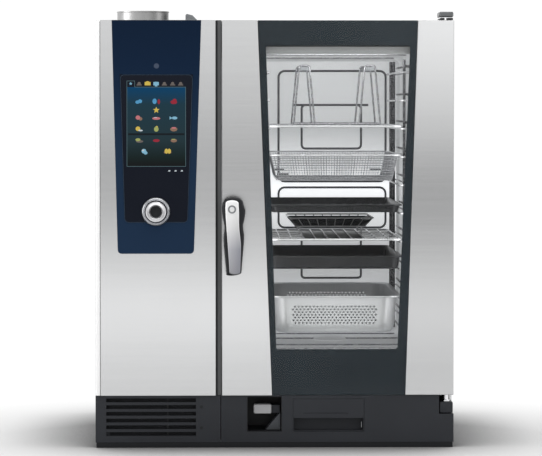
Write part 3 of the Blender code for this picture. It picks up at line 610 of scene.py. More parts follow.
ACROSS = {"X": (1, 2, 0), "Y": (0, 2, 1), "Z": (0, 1, 2)}


def spot(axis, u, v, along):
    """A point from two coordinates across an axis and one along it."""
    point = [0.0, 0.0, 0.0]
    for index, value in zip(ACROSS[axis], (u, v, along)):
        point[index] = value
    return point


def turned(axis, centre, profile, count=64, closed=False):
    """A turned shape: the profile lists radius and absolute place along the axis."""
    u0, v0 = (centre[index] for index in ACROSS[axis][:2])
    loops = []
    for radius, along in profile:
        loop = []
        for index in range(count):
            angle = math.tau * index / count
            loop.append(spot(axis, u0 + radius * math.cos(angle), v0 + radius * math.sin(angle), along))
        loops.append(loop)
    return loft(loops, closed)


def prism(axis, outline, start, end):
    """An outline, given across the axis, extruded along it."""
    return loft([[spot(axis, u, v, along) for u, v in outline] for along in (start, end)])


def rounded(centre, half, radius, steps=6):
    """Corner points of a rectangle with round corners, anticlockwise."""
    points = []
    for quarter, (sx, sy) in enumerate(((1, 1), (-1, 1), (-1, -1), (1, -1))):
        cx = centre[0] + sx * (half[0] - radius)
        cy = centre[1] + sy * (half[1] - radius)
        for step in range(steps + 1):
            angle = math.pi / 2 * (quarter + step / steps)
            points.append((cx + radius * math.cos(angle), cy + radius * math.sin(angle)))
    return points


def join(target, other):
    """Add one bmesh to another."""
    mesh = bpy.data.meshes.new("joined")
    other.to_mesh(mesh)
    other.free()
    target.from_mesh(mesh)
    bpy.data.meshes.remove(mesh)
    return target


def joined(parts):
    """Several bmeshes as one."""
    first, *rest = parts
    for other in rest:
        join(first, other)
    return first


def cells(xs, ys, zs, is_solid):
    """One body from the solid cells of a grid whose lines stand at xs, ys and zs."""
    bm = bmesh.new()
    lines = (xs, ys, zs)
    counts = [len(line) - 1 for line in lines]
    corners = {}

    def corner(index):
        if index not in corners:
            corners[index] = bm.verts.new([line[i] for line, i in zip(lines, index)])
        return corners[index]

    def solid(index):
        inside = all(0 <= i < count for i, count in zip(index, counts))
        return inside and is_solid(*index)

    every = [(i, j, k) for i in range(counts[0]) for j in range(counts[1]) for k in range(counts[2])]
    for cell in every:
        if not solid(cell):
            continue
        for axis in range(3):
            for side in (0, 1):
                beside = list(cell)
                beside[axis] += 2 * side - 1
                if solid(tuple(beside)):
                    continue
                first, second = [n for n in range(3) if n != axis]
                face = []
                for du, dv in ((0, 0), (1, 0), (1, 1), (0, 1)):
                    index = list(cell)
                    index[axis] += side
                    index[first] += du
                    index[second] += dv
                    face.append(corner(tuple(index)))
                bm.faces.new(face)
    return bm


def block(lo, hi, edge=0.0006):
    """A block with rounded edges."""
    edge = min(edge, 0.3 * min(high - low for low, high in zip(lo, hi)))
    bm = cells((lo[0], hi[0]), (lo[1], hi[1]), (lo[2], hi[2]), lambda i, j, k: True)
    bmesh.ops.recalc_face_normals(bm, faces=bm.faces)
    bmesh.ops.bevel(bm, geom=list(bm.edges), offset=edge, segments=2, profile=0.5, affect="EDGES")
    return bm


def curve_through(points, count):
    """Points on a smooth Catmull-Rom curve through (place, value) pairs, evenly spaced in place."""
    places = [place for place, _ in points]
    result = []
    for index in range(count):
        at = places[0] + (places[-1] - places[0]) * index / (count - 1)
        k = max(i for i in range(len(points) - 1) if (places[i] - at) * (places[-1] - places[0]) <= 1e-12)
        t = (at - places[k]) / (places[k + 1] - places[k])
        values = [points[min(max(k + n, 0), len(points) - 1)][1] for n in (-1, 0, 1, 2)]
        a, b, c, d = values
        value = b + 0.5 * t * (c - a + t * (2 * a - 5 * b + 4 * c - d + t * (3 * (b - c) + d - a)))
        result.append((at, value))
    return result


# ---------------------------------------------------------------- carried-over CAD nodes

CAD_FINISHES = {
    "side_panel_left": "steel_side",
    "side_panel_right": "steel_side",
    "top_cover": "steel_side",
    "column_front_cover": "steel_front",
    "door_skin_left": "steel_front",
    "door_skin_right": "steel_front",
    "centre_post": "post_grey",
    "front_frame": "steel_flange",
    "insulation_jacket": "wool",
    "fan_upper": "steel_inner",
    "fan_lower": "steel_inner",
    "fan_motor_upper": "cast_motor",
    "fan_motor_lower": "cast_motor",
    "ring_heater_upper": "heater",
    "ring_heater_lower": "heater",
    "steam_generator": "steel_side",
    "control_electronics": "circuit",
    "door_frame": "alloy",
    "door_glass_outer": "glass_outer",
    "door_glass_inner": "glass_inner",
    "door_lamp": "lamp",
    "door_drip_tray": "steel_inner",
    "handle_shaft": "dark_steel",
    "control_fascia": "navy",
    "touch_screen": "black_glass",
    "dial_plunger": "dark_steel",
    "base_grille": "charcoal",
    "base_fascia": "charcoal",
    "air_filter": "foam",
    "shower_housing": "black",
    "base_plate": "dark_steel",
    "foot_front_left": "silicone",
    "foot_front_right": "silicone",
    "foot_rear_left": "silicone",
    "foot_rear_right": "silicone",
    "drain_strainer": "cavity_steel_painted_glow",
}
EDGES = {
    "base_grille": 0.0010,
    "base_fascia": 0.0012,
    "centre_post": 0.0015,
    "door_skin_left": 0.0016,
    "side_panel_left": 0.0045,
    "front_frame": 0.0010,
    "door_frame": 0.0015,
    "door_glass_inner": 0.0010,
    "control_fascia": 0.0008,
    "touch_screen": 0.0003,
    "top_cover": 0.0008,
}


def finish_cad_nodes():
    """Give each CAD node that stays in view its finish and, where it has one, its rounded edges."""
    for name, material in CAD_FINISHES.items():
        mesh = nodes[name].data
        for index in range(len(mesh.materials)):
            nodes[name].material_slots[index].material = materials[material]
    for name, width in EDGES.items():
        bevel(nodes[name], width)


# ---------------------------------------------------------------- cavity

def cavity_section(inset, lo, hi, radius, steps=6):
    """The cavity's cross-section in X and Z at an inset from its inner walls."""
    centre = ((lo.x + hi.x) / 2, (lo.z + hi.z) / 2)
    half = ((hi.x - lo.x) / 2 - inset, (hi.z - lo.z) / 2 - inset)
    return rounded(centre, half, radius, steps)


def build_cavity():
    """A deep-drawn tub with round corners."""
    lo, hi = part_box("cavity_shell")
    wall = 0.003
    hygienic = 0.026  # radius of the cavity's corners, seen from the front
    fillet = 0.010  # radius between the walls and the back wall
    front, back = lo.y, hi.y - wall
    loops = []
    for y, inset, radius in ((hi.y, 0.002, hygienic), (front, 0.0, hygienic)):
        loops.append([(x, y, z) for x, z in cavity_section(inset, lo, hi, radius + wall)])
    loops.append([(x, front, z) for x, z in cavity_section(wall, lo, hi, hygienic)])
    for step in range(7):
        angle = math.pi / 2 * step / 6
        sink = wall + fillet * (1 - math.cos(angle))
        y = back - fillet * (1 - math.sin(angle))
        radius = hygienic - fillet * (1 - math.cos(angle))
        loops.append([(x, y, z) for x, z in cavity_section(sink, lo, hi, radius)])
    # The tub's steel carries painted light, a glow that follows the height.
    piece("cavity_tub", loft(loops), "cabinet", "cavity_steel_painted_glow", ["cavity_shell"])
    return back


def build_back_wall(back):
    """The guide plate in front of the back wall, made bright by a painted glow that follows the height, and
    the beads pressed into it.
    """
    shell_lo, shell_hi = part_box("cavity_shell")
    centre = ((shell_lo.x + shell_hi.x) / 2, (shell_lo.z + shell_hi.z) / 2)
    half = ((shell_hi.x - shell_lo.x) / 2 - 0.014, (shell_hi.z - shell_lo.z) / 2 - 0.014)
    plate = prism("Y", rounded(centre, half, 0.015), back - 0.0012, back - 0.0003)
    piece("back_wall_plate", plate, "cabinet", "back_plate_painted_glow")
    face = back - 0.0012
    depth = 0.0030

    def bead(left, right, low, high, radius):
        corners = [(left, high), (right, high), (right, low), (left, low)]
        return filleted([(x, face, z) for x, z in corners], radius, closed=True, steps=6), True

    outlines = [
        bead(0.0229, 0.3018, 0.6136, 0.9010, 0.016),
        bead(0.0229, 0.3018, 0.4934, 0.5980, 0.016),
        bead(0.0831, 0.2377, 0.6993, 0.8127, 0.010),
        bead(0.0831, 0.2377, 0.3620, 0.4700, 0.008),
        ([(0.0603, face, 0.8127), (0.2563, face, 0.8127)], False),
    ]
    wires("back_wall_beads", outlines, depth, "cabinet", "bead", sides=3)


def build_gasket():
    """A round-cornered silicone seal that leaves the steel flange of the cavity in view."""
    lo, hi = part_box("door_gasket")
    centre = ((lo.x + hi.x) / 2, (lo.z + hi.z) / 2)
    half = ((hi.x - lo.x) / 2, (hi.z - lo.z) / 2)
    width, groove = 0.0090, 0.0018
    loops = []
    for inset, y in (
        (0.0, lo.y),
        (0.0, hi.y - 0.002),
        (0.002, hi.y),
        (width / 2 - groove, hi.y),
        (width / 2, hi.y - 0.003),
        (width / 2 + groove, hi.y),
        (width - 0.002, hi.y),
        (width, hi.y - 0.002),
        (width, lo.y),
    ):
        outline = rounded(centre, (half[0] - inset, half[1] - inset), 0.022)
        loops.append([(x, y, z) for x, z in outline])
    piece("door_seal", loft(loops, closed=True), "door", "silicone", ["door_gasket"])


def build_cavity_floor():
    """Ribs pressed across the cavity's floor and ceiling."""
    lo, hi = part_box("cavity_shell")
    inner_lo = lo + Vector((0.003, 0.003, 0.003))
    inner_hi = hi - Vector((0.003, 0.003, 0.003))
    left, right = inner_lo.x + 0.040, inner_hi.x - 0.020
    floor_ribs, ceiling_ribs = [], []
    for share in (0.035, 0.12, 0.30, 0.62, 0.86):
        y = inner_lo.y + (inner_hi.y - inner_lo.y) * share
        floor_ribs.append(([(left, y, inner_lo.z), (right, y, inner_lo.z)], False))
    for share in (0.10, 0.90):
        y = inner_lo.y + (inner_hi.y - inner_lo.y) * share
        ceiling_ribs.append(([(left, y, inner_hi.z), (right, y, inner_hi.z)], False))
    wires("cavity_floor_ribs", floor_ribs, 0.0030, "cabinet", "soft_wire")
    wires("cavity_ceiling_ribs", ceiling_ribs, 0.0030, "cabinet", "soft_wire")


def build_baffle():
    """The air baffle with a pressed rim and a wire grille in front of each fan."""
    lo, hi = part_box("air_baffle")
    fans = [(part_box(f"fan_{level}")[0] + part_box(f"fan_{level}")[1]) / 2 for level in ("upper", "lower")]
    intake = 0.085
    centre = ((lo.y + hi.y) / 2, (lo.z + hi.z) / 2)
    half = ((hi.y - lo.y) / 2, (hi.z - lo.z) / 2)
    sheet = prism("X", rounded(centre, half, 0.012), lo.x, hi.x)
    baffle = piece("baffle_sheet", sheet, "cabinet", "cavity_steel_painted_glow", ["air_baffle"])
    for index, fan in enumerate(fans):
        cutter = turned("X", (0.0, fan.y, fan.z), [(intake, lo.x - 0.01), (intake, hi.x + 0.01)], 48)
        cut(baffle, cutter, index)
    rings = []
    for fan in fans:
        for radius in (0.012, 0.027, 0.042, 0.057, 0.072, intake + 0.001):
            ring = []
            for step in range(48):
                angle = math.tau * step / 48
                y, z = fan.y + radius * math.cos(angle), fan.z + radius * math.sin(angle)
                ring.append((hi.x - 0.0015, y, z))
            rings.append((ring, True))
        for step in range(6):
            angle = math.pi * step / 6
            reach = Vector((0.0, math.cos(angle), math.sin(angle))) * (intake + 0.004)
            middle = Vector((hi.x - 0.0015, fan.y, fan.z))
            rings.append(([tuple(middle - reach), tuple(middle + reach)], False))
    wires("baffle_grilles", rings, 0.0012, "cabinet", "wire", sides=2)


def cut(obj, bm, index):
    """Cut a bmesh away from an object and apply the cut."""
    bmesh.ops.recalc_face_normals(bm, faces=bm.faces)
    mesh = bpy.data.meshes.new("cutter")
    bm.to_mesh(mesh)
    bm.free()
    tool = bpy.data.objects.new("cutter", mesh)
    bpy.context.scene.collection.objects.link(tool)
    modifier = obj.modifiers.new(f"cut_{index}", "BOOLEAN")
    modifier.operation = "DIFFERENCE"
    modifier.solver = "EXACT"
    modifier.object = tool
    graph = bpy.context.evaluated_depsgraph_get()
    result = bpy.data.meshes.new_from_object(obj.evaluated_get(graph))
    obj.modifiers.remove(modifier)
    old = obj.data
    obj.data = result
    bpy.data.meshes.remove(old)
    bpy.data.objects.remove(tool, do_unlink=True)


# ---------------------------------------------------------------- racks and containers

LEVEL_ONE_Z = 0.282
LEVEL_PITCH = 0.068
LEVELS = 10


def build_rack(side):
    """Uprights, support rails and the hooked guard wires that stop a container tipping."""
    name = "rack_left" if side < 0 else "rack_right"
    lo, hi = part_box(name)
    outer = lo.x + 0.005 if side < 0 else hi.x - 0.005
    inner = hi.x - 0.0025 if side < 0 else lo.x + 0.0025
    upright = outer - side * 0.012
    front, back = lo.y + 0.003, hi.y - 0.003
    rods = []
    for y, apart in ((lo.y + 0.066, 0.0), (back - 0.072, 0.0), (back - 0.072, 0.0085), (back - 0.004, 0.0)):
        x = upright - side * apart
        rods.append(([(x, y, lo.z), (x, y, hi.z)], False))
    wires(f"{name}_uprights", rods, 0.0034, "cabinet", "rack_wire", [name])
    rails, guards = [], []
    for level in range(LEVELS):
        z = LEVEL_ONE_Z + LEVEL_PITCH * level - 0.0025
        corners = [
            (outer, front + 0.020, z),
            (inner, front, z),
            (inner, back, z),
            (outer, back, z),
        ]
        rails.append((filleted(corners, 0.010, closed=True), True))
        top = z + 0.016
        hook = [
            (upright, lo.y + 0.066, top - 0.010),
            (upright, front + 0.030, top),
            (outer, front + 0.006, top - 0.004),
            (outer, front + 0.004, z),
        ]
        guards.append((filleted(hook, 0.010), False))
        guards.append(([(outer, front + 0.030, top), (outer, back, top)], False))
    wires(f"{name}_rails", rails, 0.0024, "cabinet", "wire")
    wires(f"{name}_guards", guards, 0.0027, "cabinet", "rack_wire")


def wire_shelf(node):
    """A round-cornered frame with long wires from front to back, and short cross rods at its sides."""
    lo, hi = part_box(node)
    rod = 0.0030
    z = (lo.z + hi.z) / 2
    left, right, front, back = lo.x + rod, hi.x - rod, lo.y + rod, hi.y - rod
    corners = [(left, front, z), (right, front, z), (right, back, z), (left, back, z)]
    frame_path = filleted(corners, 0.008, True)
    wires(f"{node}_frame", [(frame_path, True)], rod, "cabinet", "wire", [node])
    long_wires = []
    count = 11
    for index in range(1, count):
        x = left + (right - left) * index / count
        long_wires.append(([(x, front, z + 0.001), (x, back, z + 0.001)], False))
    for share in (0.20, 0.40, 0.60, 0.80):
        y = front + (back - front) * share
        for start, end in ((0.0, 0.27), (0.73, 1.0)):
            ends = [(left + (right - left) * s, y, z - 0.0012) for s in (start, end)]
            long_wires.append((ends, False))
    wires(f"{node}_wires", long_wires, 0.0020, "cabinet", "wire")


def poultry_stand():
    """Tapered wire loops that stand on a base frame."""
    lo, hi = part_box("poultry_stand")
    rod = 0.0022
    base = lo.z + rod
    top = hi.z - rod
    centre_y = (lo.y + hi.y) / 2
    half_y = (hi.y - lo.y) / 2 - rod
    left, right = lo.x + 0.028, hi.x - 0.028
    foot, crown = 0.0255, 0.0125
    loops = []
    for x in (left, right):
        for y in (centre_y - half_y, centre_y + half_y):
            legs = [(x - foot, y, base), (x - crown, y, top), (x + crown, y, top), (x + foot, y, base)]
            loops.append((filleted(legs, 0.006), False))
    for y in (centre_y - half_y, centre_y + half_y):
        loops.append(([(lo.x + rod, y, base), (hi.x - rod, y, base)], False))
    for x in (left - foot, left + foot, right - foot, right + foot):
        loops.append(([(x, lo.y + rod, base), (x, hi.y - rod, base)], False))
    wires("poultry_stand_loops", loops, rod, "cabinet", "soft_wire", ["poultry_stand"])
    strips = []
    for x in (left, right):
        for y in (centre_y - half_y, centre_y + half_y):
            z = top - 0.006
            strips.append(block((x - crown, y - 0.0008, z - 0.006), (x + crown, y + 0.0008, z + 0.004)))
    piece("poultry_stand_clips", joined(strips), "cabinet", "dark_steel", smooth=False)


def pan(lo, hi, rim, taper, radius, fillet, wall=0.0010, lip=0.0030):
    """Loops of a drawn pan, from its outer floor over the rolled rim to its inner floor."""
    centre = ((lo.x + hi.x) / 2, (lo.y + hi.y) / 2)
    half = ((hi.x - lo.x) / 2, (hi.y - lo.y) / 2)

    def loop(inset, z, corner):
        size = (half[0] - inset, half[1] - inset)
        return [(x, y, z) for x, y in rounded(centre, size, corner)]

    loops = []
    for step in range(5):
        angle = math.pi / 2 * step / 4
        inset = rim + taper + fillet * (1 - math.sin(angle))
        z = lo.z + fillet * (1 - math.cos(angle))
        loops.append(loop(inset, z, max(radius - fillet * (1 - math.sin(angle)), 0.003)))
    loops.append(loop(rim, hi.z - wall - 0.002, radius))
    loops.append(loop(rim - 0.002, hi.z - wall, radius))
    loops.append(loop(0.0012, hi.z - wall, radius))
    loops.append(loop(0.0006, hi.z - wall - lip, radius))
    loops.append(loop(0.0, hi.z - wall - lip, radius))
    loops.append(loop(0.0, hi.z - 0.0008, radius))
    loops.append(loop(0.0008, hi.z, radius))
    loops.append(loop(rim - 0.001, hi.z, radius))
    loops.append(loop(rim + wall, hi.z - 0.0025, radius - wall))
    inner = fillet - wall
    for step in range(5):
        angle = math.pi / 2 * (1 - step / 4)
        inset = rim + taper + wall + inner * (1 - math.sin(angle))
        z = lo.z + wall + inner * (1 - math.cos(angle))
        loops.append(loop(inset, z, max(radius - wall - inner * (1 - math.sin(angle)), 0.002)))
    return loft(loops)


def build_trays():
    """The two enamelled trays, with a bright rolled rim and foot."""
    for node in ("tray_upper", "tray_lower"):
        lo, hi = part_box(node)
        tray = pan(lo, hi, 0.005, 0.003, 0.016, 0.008, lip=0.002)
        piece(f"{node}_enamelled", tray, "cabinet", "enamel", [node])
        centre = ((lo.x + hi.x) / 2, (lo.y + hi.y) / 2)
        half = ((hi.x - lo.x) / 2 - 0.0012, (hi.y - lo.y) / 2 - 0.0012)
        rim = [(x, y, hi.z - 0.0012) for x, y in rounded(centre, half, 0.015)]
        foot = [
            (x, y, lo.z + 0.0016)
            for x, y in rounded(centre, (half[0] - 0.0115, half[1] - 0.0115), 0.012)
        ]
        wires(f"{node}_rolled_edges", [(rim, True), (foot, True)], 0.0012, "cabinet", "rack_wire", sides=2)


def perimeter(centre, half, radius, count):
    """Points at equal steps round a rectangle with round corners, each with whether it is on a flat side."""
    straight = (2 * (half[1] - radius), 2 * (half[0] - radius))
    arc = math.pi / 2 * radius
    total = 2 * sum(straight) + 4 * arc
    points = []
    for index in range(count):
        s = (total * index / count + straight[0] / 2) % total
        x, y = half[0], -(half[1] - radius)
        heading = math.pi / 2
        for side in range(4):
            run = straight[side % 2]
            if s <= run:
                x += s * math.cos(heading)
                y += s * math.sin(heading)
                flat = True
                break
            s -= run
            x += run * math.cos(heading)
            y += run * math.sin(heading)
            if s <= arc:
                turn = s / radius
                cx = x - radius * math.sin(heading)
                cy = y + radius * math.cos(heading)
                x = cx + radius * math.sin(heading + turn)
                y = cy - radius * math.cos(heading + turn)
                flat = False
                break
            s -= arc
            cx = x - radius * math.sin(heading)
            cy = y + radius * math.cos(heading)
            heading += math.pi / 2
            x = cx + radius * math.sin(heading)
            y = cy - radius * math.cos(heading)
        points.append((centre[0] + x, centre[1] + y, flat))
    return points


def perforated_container():
    """A container whose walls are pierced by staggered rows of round holes."""
    lo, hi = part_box("perforated_container")
    centre = ((lo.x + hi.x) / 2, (lo.y + hi.y) / 2)
    half = ((hi.x - lo.x) / 2, (hi.y - lo.y) / 2)
    rim, taper, radius = 0.012, 0.006, 0.040
    count = 168  # holes round the container
    rows, pitch = 7, 0.0066
    hole = 0.0021
    first = lo.z + 0.020

    def ring(z, inset, corner=radius):
        size = (half[0] - inset, half[1] - inset)
        return perimeter(centre, size, corner, 2 * count)

    def lean(z):
        return rim + taper * (hi.z - z) / (hi.z - lo.z)

    bm = bmesh.new()

    def add_ring(z, inset, corner=radius):
        return [bm.verts.new((x, y, z)) for x, y, _ in ring(z, inset, corner)]

    def bridge(lower, upper):
        for i in range(2 * count):
            j = (i + 1) % (2 * count)
            bm.faces.new((lower[i], lower[j], upper[j], upper[i]))

    floor_rings = []
    fillet = 0.014
    for step in range(4):
        angle = math.pi / 2 * step / 3
        drawn = fillet * (1 - math.sin(angle))
        z = lo.z + fillet * (1 - math.cos(angle))
        floor_rings.append(add_ring(z, lean(lo.z) + drawn, radius - drawn))
    bm.faces.new(floor_rings[0])
    for lower, upper in zip(floor_rings, floor_rings[1:]):
        bridge(lower, upper)
    borders = [add_ring(first + pitch * row, lean(first + pitch * row)) for row in range(rows + 1)]
    bridge(floor_rings[-1], borders[0])
    for row in range(rows):
        lower, upper = borders[row], borders[row + 1]
        z_middle = first + pitch * (row + 0.5)
        middles = ring(z_middle, lean(z_middle))
        shift = row % 2
        mid_verts = {}

        def middle(index, mid_verts=mid_verts, middles=middles, z_middle=z_middle):
            index %= 2 * count
            if index not in mid_verts:
                mid_verts[index] = bm.verts.new((*middles[index][:2], z_middle))
            return mid_verts[index]

        for hole_index in range(count):
            a = (2 * hole_index + shift) % (2 * count)
            b = (a + 1) % (2 * count)
            c = (a + 2) % (2 * count)
            outline = [lower[a], lower[b], lower[c], middle(c), upper[c], upper[b], upper[a], middle(a)]
            if not all(middles[n][2] for n in (a, b, c)):
                bm.faces.new(outline)
                continue
            core = Vector((*middles[b][:2], z_middle))
            along = (Vector(middles[c][:2]) - Vector(middles[a][:2])).normalized()
            inner = []
            for step in range(8):
                angle = math.pi * 5 / 4 + math.pi / 4 * step
                across = hole * math.cos(angle)
                offset = Vector((along.x * across, along.y * across, hole * math.sin(angle)))
                inner.append(bm.verts.new(core + offset))
            for step in range(8):
                after = (step + 1) % 8
                bm.faces.new((outline[step], outline[after], inner[after], inner[step]))
    upper_rings = [
        add_ring(hi.z - 0.003, rim),
        add_ring(hi.z - 0.0005, rim - 0.003),
        add_ring(hi.z - 0.0005, 0.0012),
        add_ring(hi.z - 0.0035, 0.0006),
    ]
    bridge(borders[-1], upper_rings[0])
    for lower, upper in zip(upper_rings, upper_rings[1:]):
        bridge(lower, upper)
    container = piece("perforated_container_sheet", bm, "cabinet", "steel_pan", ["perforated_container"])
    thicken = container.modifiers.new("sheet", "SOLIDIFY")
    thicken.thickness = 0.0008
    thicken.offset = -1.0


def fry_basket():
    """A basket of fine wire mesh under a stout rim, with a clip near each corner of its floor."""
    lo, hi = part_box("fry_basket")
    rim, taper = 0.010, 0.014
    rod = 0.0022
    z = hi.z - rod
    left, right, front, back = lo.x + rod, hi.x - rod, lo.y + rod, hi.y - rod
    corners = [(left, front, z), (right, front, z), (right, back, z), (left, back, z)]
    outer = filleted(corners, 0.016, True)
    wires("fry_basket_rim", [(outer, True)], rod, "cabinet", "wire", ["fry_basket"])
    top = Vector((hi.x - lo.x, hi.y - lo.y)) / 2 - Vector((rim, rim))
    floor = top - Vector((taper, taper))
    cx, cy = (lo.x + hi.x) / 2, (lo.y + hi.y) / 2
    low = lo.z + 0.003
    mesh = []
    pitch = 0.0062
    for size, cross, axis in ((floor.x, 1, 0), (floor.y, 0, 1)):
        count = int(2 * size / pitch)
        for index in range(count + 1):
            across = -size + 2 * size * index / count
            spread = across * (top[axis] / floor[axis])
            points = []
            for along, z_here, offset in (
                (-top[cross], z, spread),
                (-floor[cross], low, across),
                (floor[cross], low, across),
                (top[cross], z, spread),
            ):
                x, y = (offset, along) if axis == 0 else (along, offset)
                points.append((cx + x, cy + y, z_here))
            mesh.append((filleted(points, 0.008, steps=3), False))
    for level in range(1, 10):
        share = level / 10
        half = floor + (top - floor) * share
        z_here = low + (z - low) * share
        loop = [(x, y, z_here) for x, y in rounded((cx, cy), half, 0.010, 3)]
        mesh.append((loop, True))
    wires("fry_basket_mesh", mesh, 0.0007, "cabinet", "mesh_wire", sides=0)
    feet = []
    for sx in (-1, 1):
        for sy in (-1, 1):
            x, y = cx + sx * (floor.x - 0.014), cy + sy * (floor.y - 0.010)
            feet.append(block((x - 0.014, y - 0.004, low + 0.012), (x + 0.014, y + 0.004, low + 0.017)))
    piece("fry_basket_clips", joined(feet), "cabinet", "dark_steel", smooth=False)


def wire_form():
    """A shallow tub of bars with a dark liner, on four short feet over a dark mat."""
    lo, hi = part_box("wire_form")
    rod = 0.0020
    cx, cy = (lo.x + hi.x) / 2, (lo.y + hi.y) / 2
    top = Vector((hi.x - cx - rod, hi.y - cy - rod))
    floor = top - Vector((0.019, 0.017))
    high, low = hi.z - rod, lo.z + 0.0175
    rims = []
    for half, z in ((top, high), (floor, low)):
        rims.append(([(x, y, z) for x, y in rounded((cx, cy), half, 0.012)], True))
    for sx in (-1, 1):
        for sy in (-1, 1):
            x, y = cx + sx * (floor.x - 0.010), cy + sy * (floor.y - 0.010)
            rims.append(([(x, y, low), (x, y, lo.z)], False))
    wires("wire_form_rims", rims, rod, "cabinet", "wire", ["wire_form"])
    bars = []
    for axis, count in ((0, 9), (1, 10)):
        for index in range(1, count):
            share = 2 * index / count - 1
            ends = []
            for side, half, z in ((-1, top, high), (-1, floor, low), (1, floor, low), (1, top, high)):
                across, along = share * half[axis], side * half[1 - axis]
                ends.append((cx + across, cy + along, z) if axis == 0 else (cx + along, cy + across, z))
            bars.append((filleted(ends, 0.006, steps=3), False))
    wires("wire_form_bars", bars, 0.0014, "cabinet", "wire", sides=2)
    liner = []
    for half, z in ((top, high - 0.004), (floor, low + 0.003)):
        size = half - Vector((0.005, 0.005))
        liner.append([(x, y, z) for x, y in rounded((cx, cy), size, 0.008)])
    sheet = loft(liner)
    lid = max(sheet.faces, key=lambda face: face.calc_center_median().z)
    bmesh.ops.delete(sheet, geom=[lid], context="FACES_ONLY")
    dish = piece("wire_form_liner", sheet, "cabinet", "liner")
    thicken = dish.modifiers.new("sheet", "SOLIDIFY")
    thicken.thickness = 0.0012
    lo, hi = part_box("wire_shelf_lower")
    z = (lo.z + hi.z) / 2
    left, right = lo.x + (hi.x - lo.x) * 0.275, lo.x + (hi.x - lo.x) * 0.725
    mat = block((left, lo.y + 0.0045, z - 0.0024), (right, hi.y - 0.0045, z - 0.0012))
    piece("wire_form_mat", mat, "cabinet", "liner", smooth=False)


# ---------------------------------------------------------------- door

def window_mask(name, outer, y0, y1, material):
    """A sheet between y0 and y1 whose outline has four corners, with the door's tapered window cut out."""
    top, bottom = (-0.0209, 0.3210, 0.9547), (0.0036, 0.2915, 0.2334)
    corners = [(bottom[0], bottom[2]), (bottom[1], bottom[2]), (top[1], top[2]), (top[0], top[2])]
    inner = [(x, z) for x, _, z in filleted([(x, 0.0, z) for x, z in corners], 0.006, True, 5)]
    bm = bmesh.new()
    layers = [[[bm.verts.new((x, y, z)) for x, z in ring] for ring in (outer, inner)] for y in (y0, y1)]
    per_corner = len(inner) // 4
    for outline, hole in layers:
        for side in range(4):
            after = (side + 1) % 4
            arc = hole[side * per_corner:(side + 1) * per_corner]
            for first, second in zip(arc, arc[1:]):
                bm.faces.new((outline[side], second, first))
            bm.faces.new((outline[side], outline[after], hole[after * per_corner], arc[-1]))
    for near, far in zip(*layers):
        for i in range(len(near)):
            j = (i + 1) % len(near)
            bm.faces.new((near[i], near[j], far[j], far[i]))
    piece(name, bm, "door", material, smooth=False)


def build_door_masks():
    """The dark print behind the outer glass, and the black sheet between the skins and the frame."""
    lo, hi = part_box("door_glass_outer")
    margin = 0.0002
    glass = [
        (-0.0064 + margin, lo.z + margin),
        (0.3096 - margin, lo.z + margin),
        (hi.x - margin, hi.z - margin),
        (lo.x + margin, hi.z - margin),
    ]
    window_mask("door_glass_print", glass, hi.y + 0.0002, hi.y + 0.0006, "print")
    frame_lo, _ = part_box("door_frame")
    sheet = [(-0.040, 0.190), (0.340, 0.190), (0.340, 0.990), (-0.040, 0.990)]
    window_mask("door_inner_mask", sheet, frame_lo.y - 0.0003, frame_lo.y - 0.0001, "black")


def build_hinges():
    """The top hinge is a cap on two feet that clear the open door; the bottom one a pin on a block."""
    lo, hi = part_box("hinge_bracket_top")
    centre = (lo.x + hi.x) / 2
    cap_z = hi.z - 0.0125
    middle = (centre, (lo.y + hi.y) / 2)
    half = ((hi.x - lo.x) / 2, (hi.y - lo.y) / 2)
    outline = rounded(middle, half, 0.006)
    shrunk = rounded(middle, (half[0] - 0.002, half[1] - 0.002), 0.004)
    cap = loft(
        [
            [(x, y, cap_z) for x, y in shrunk],
            [(x, y, cap_z + 0.002) for x, y in outline],
            [(x, y, hi.z - 0.003) for x, y in outline],
            [(x, y, hi.z) for x, y in shrunk],
        ]
    )
    piece("hinge_cap_top", cap, "cabinet", "alloy", ["hinge_bracket_top"])
    door_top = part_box("door_skin_right")[1].z + 0.0008
    behind_door = lo.y + 0.0490
    feet = []
    for side in (-1, 1):
        left, right = centre + side * 0.0100 - 0.0055, centre + side * 0.0100 + 0.0055
        back = hi.y - 0.010
        feet.append(block((left, lo.y + 0.003, door_top), (right, back, cap_z - 0.0026)))
        feet.append(block((left, behind_door, lo.z + 0.0014), (right, back, door_top)))
    piece("hinge_feet_top", joined(feet), "cabinet", "cast", smooth=False)
    washer = block(
        (centre - 0.0145, lo.y + 0.006, cap_z - 0.0024),
        (centre + 0.0145, hi.y - 0.008, cap_z - 0.0002),
    )
    piece("hinge_washer_top", washer, "cabinet", "chrome", smooth=False)

    lo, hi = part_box("hinge_bracket_bottom")
    block_top = 0.1075
    base = block((lo.x, lo.y, lo.z), (hi.x, hi.y, block_top), 0.0025)
    piece("hinge_block_bottom", base, "cabinet", "charcoal", ["hinge_bracket_bottom"])
    axis = (0.4075, lo.y + 0.020, 0.0)
    pin = [
        (0.0095, block_top),
        (0.0095, block_top + 0.004),
        (0.0060, block_top + 0.005),
        (0.0060, 0.1235),
    ]
    piece("hinge_pin_bottom", turned("Z", axis, pin, 32), "cabinet", "chrome")


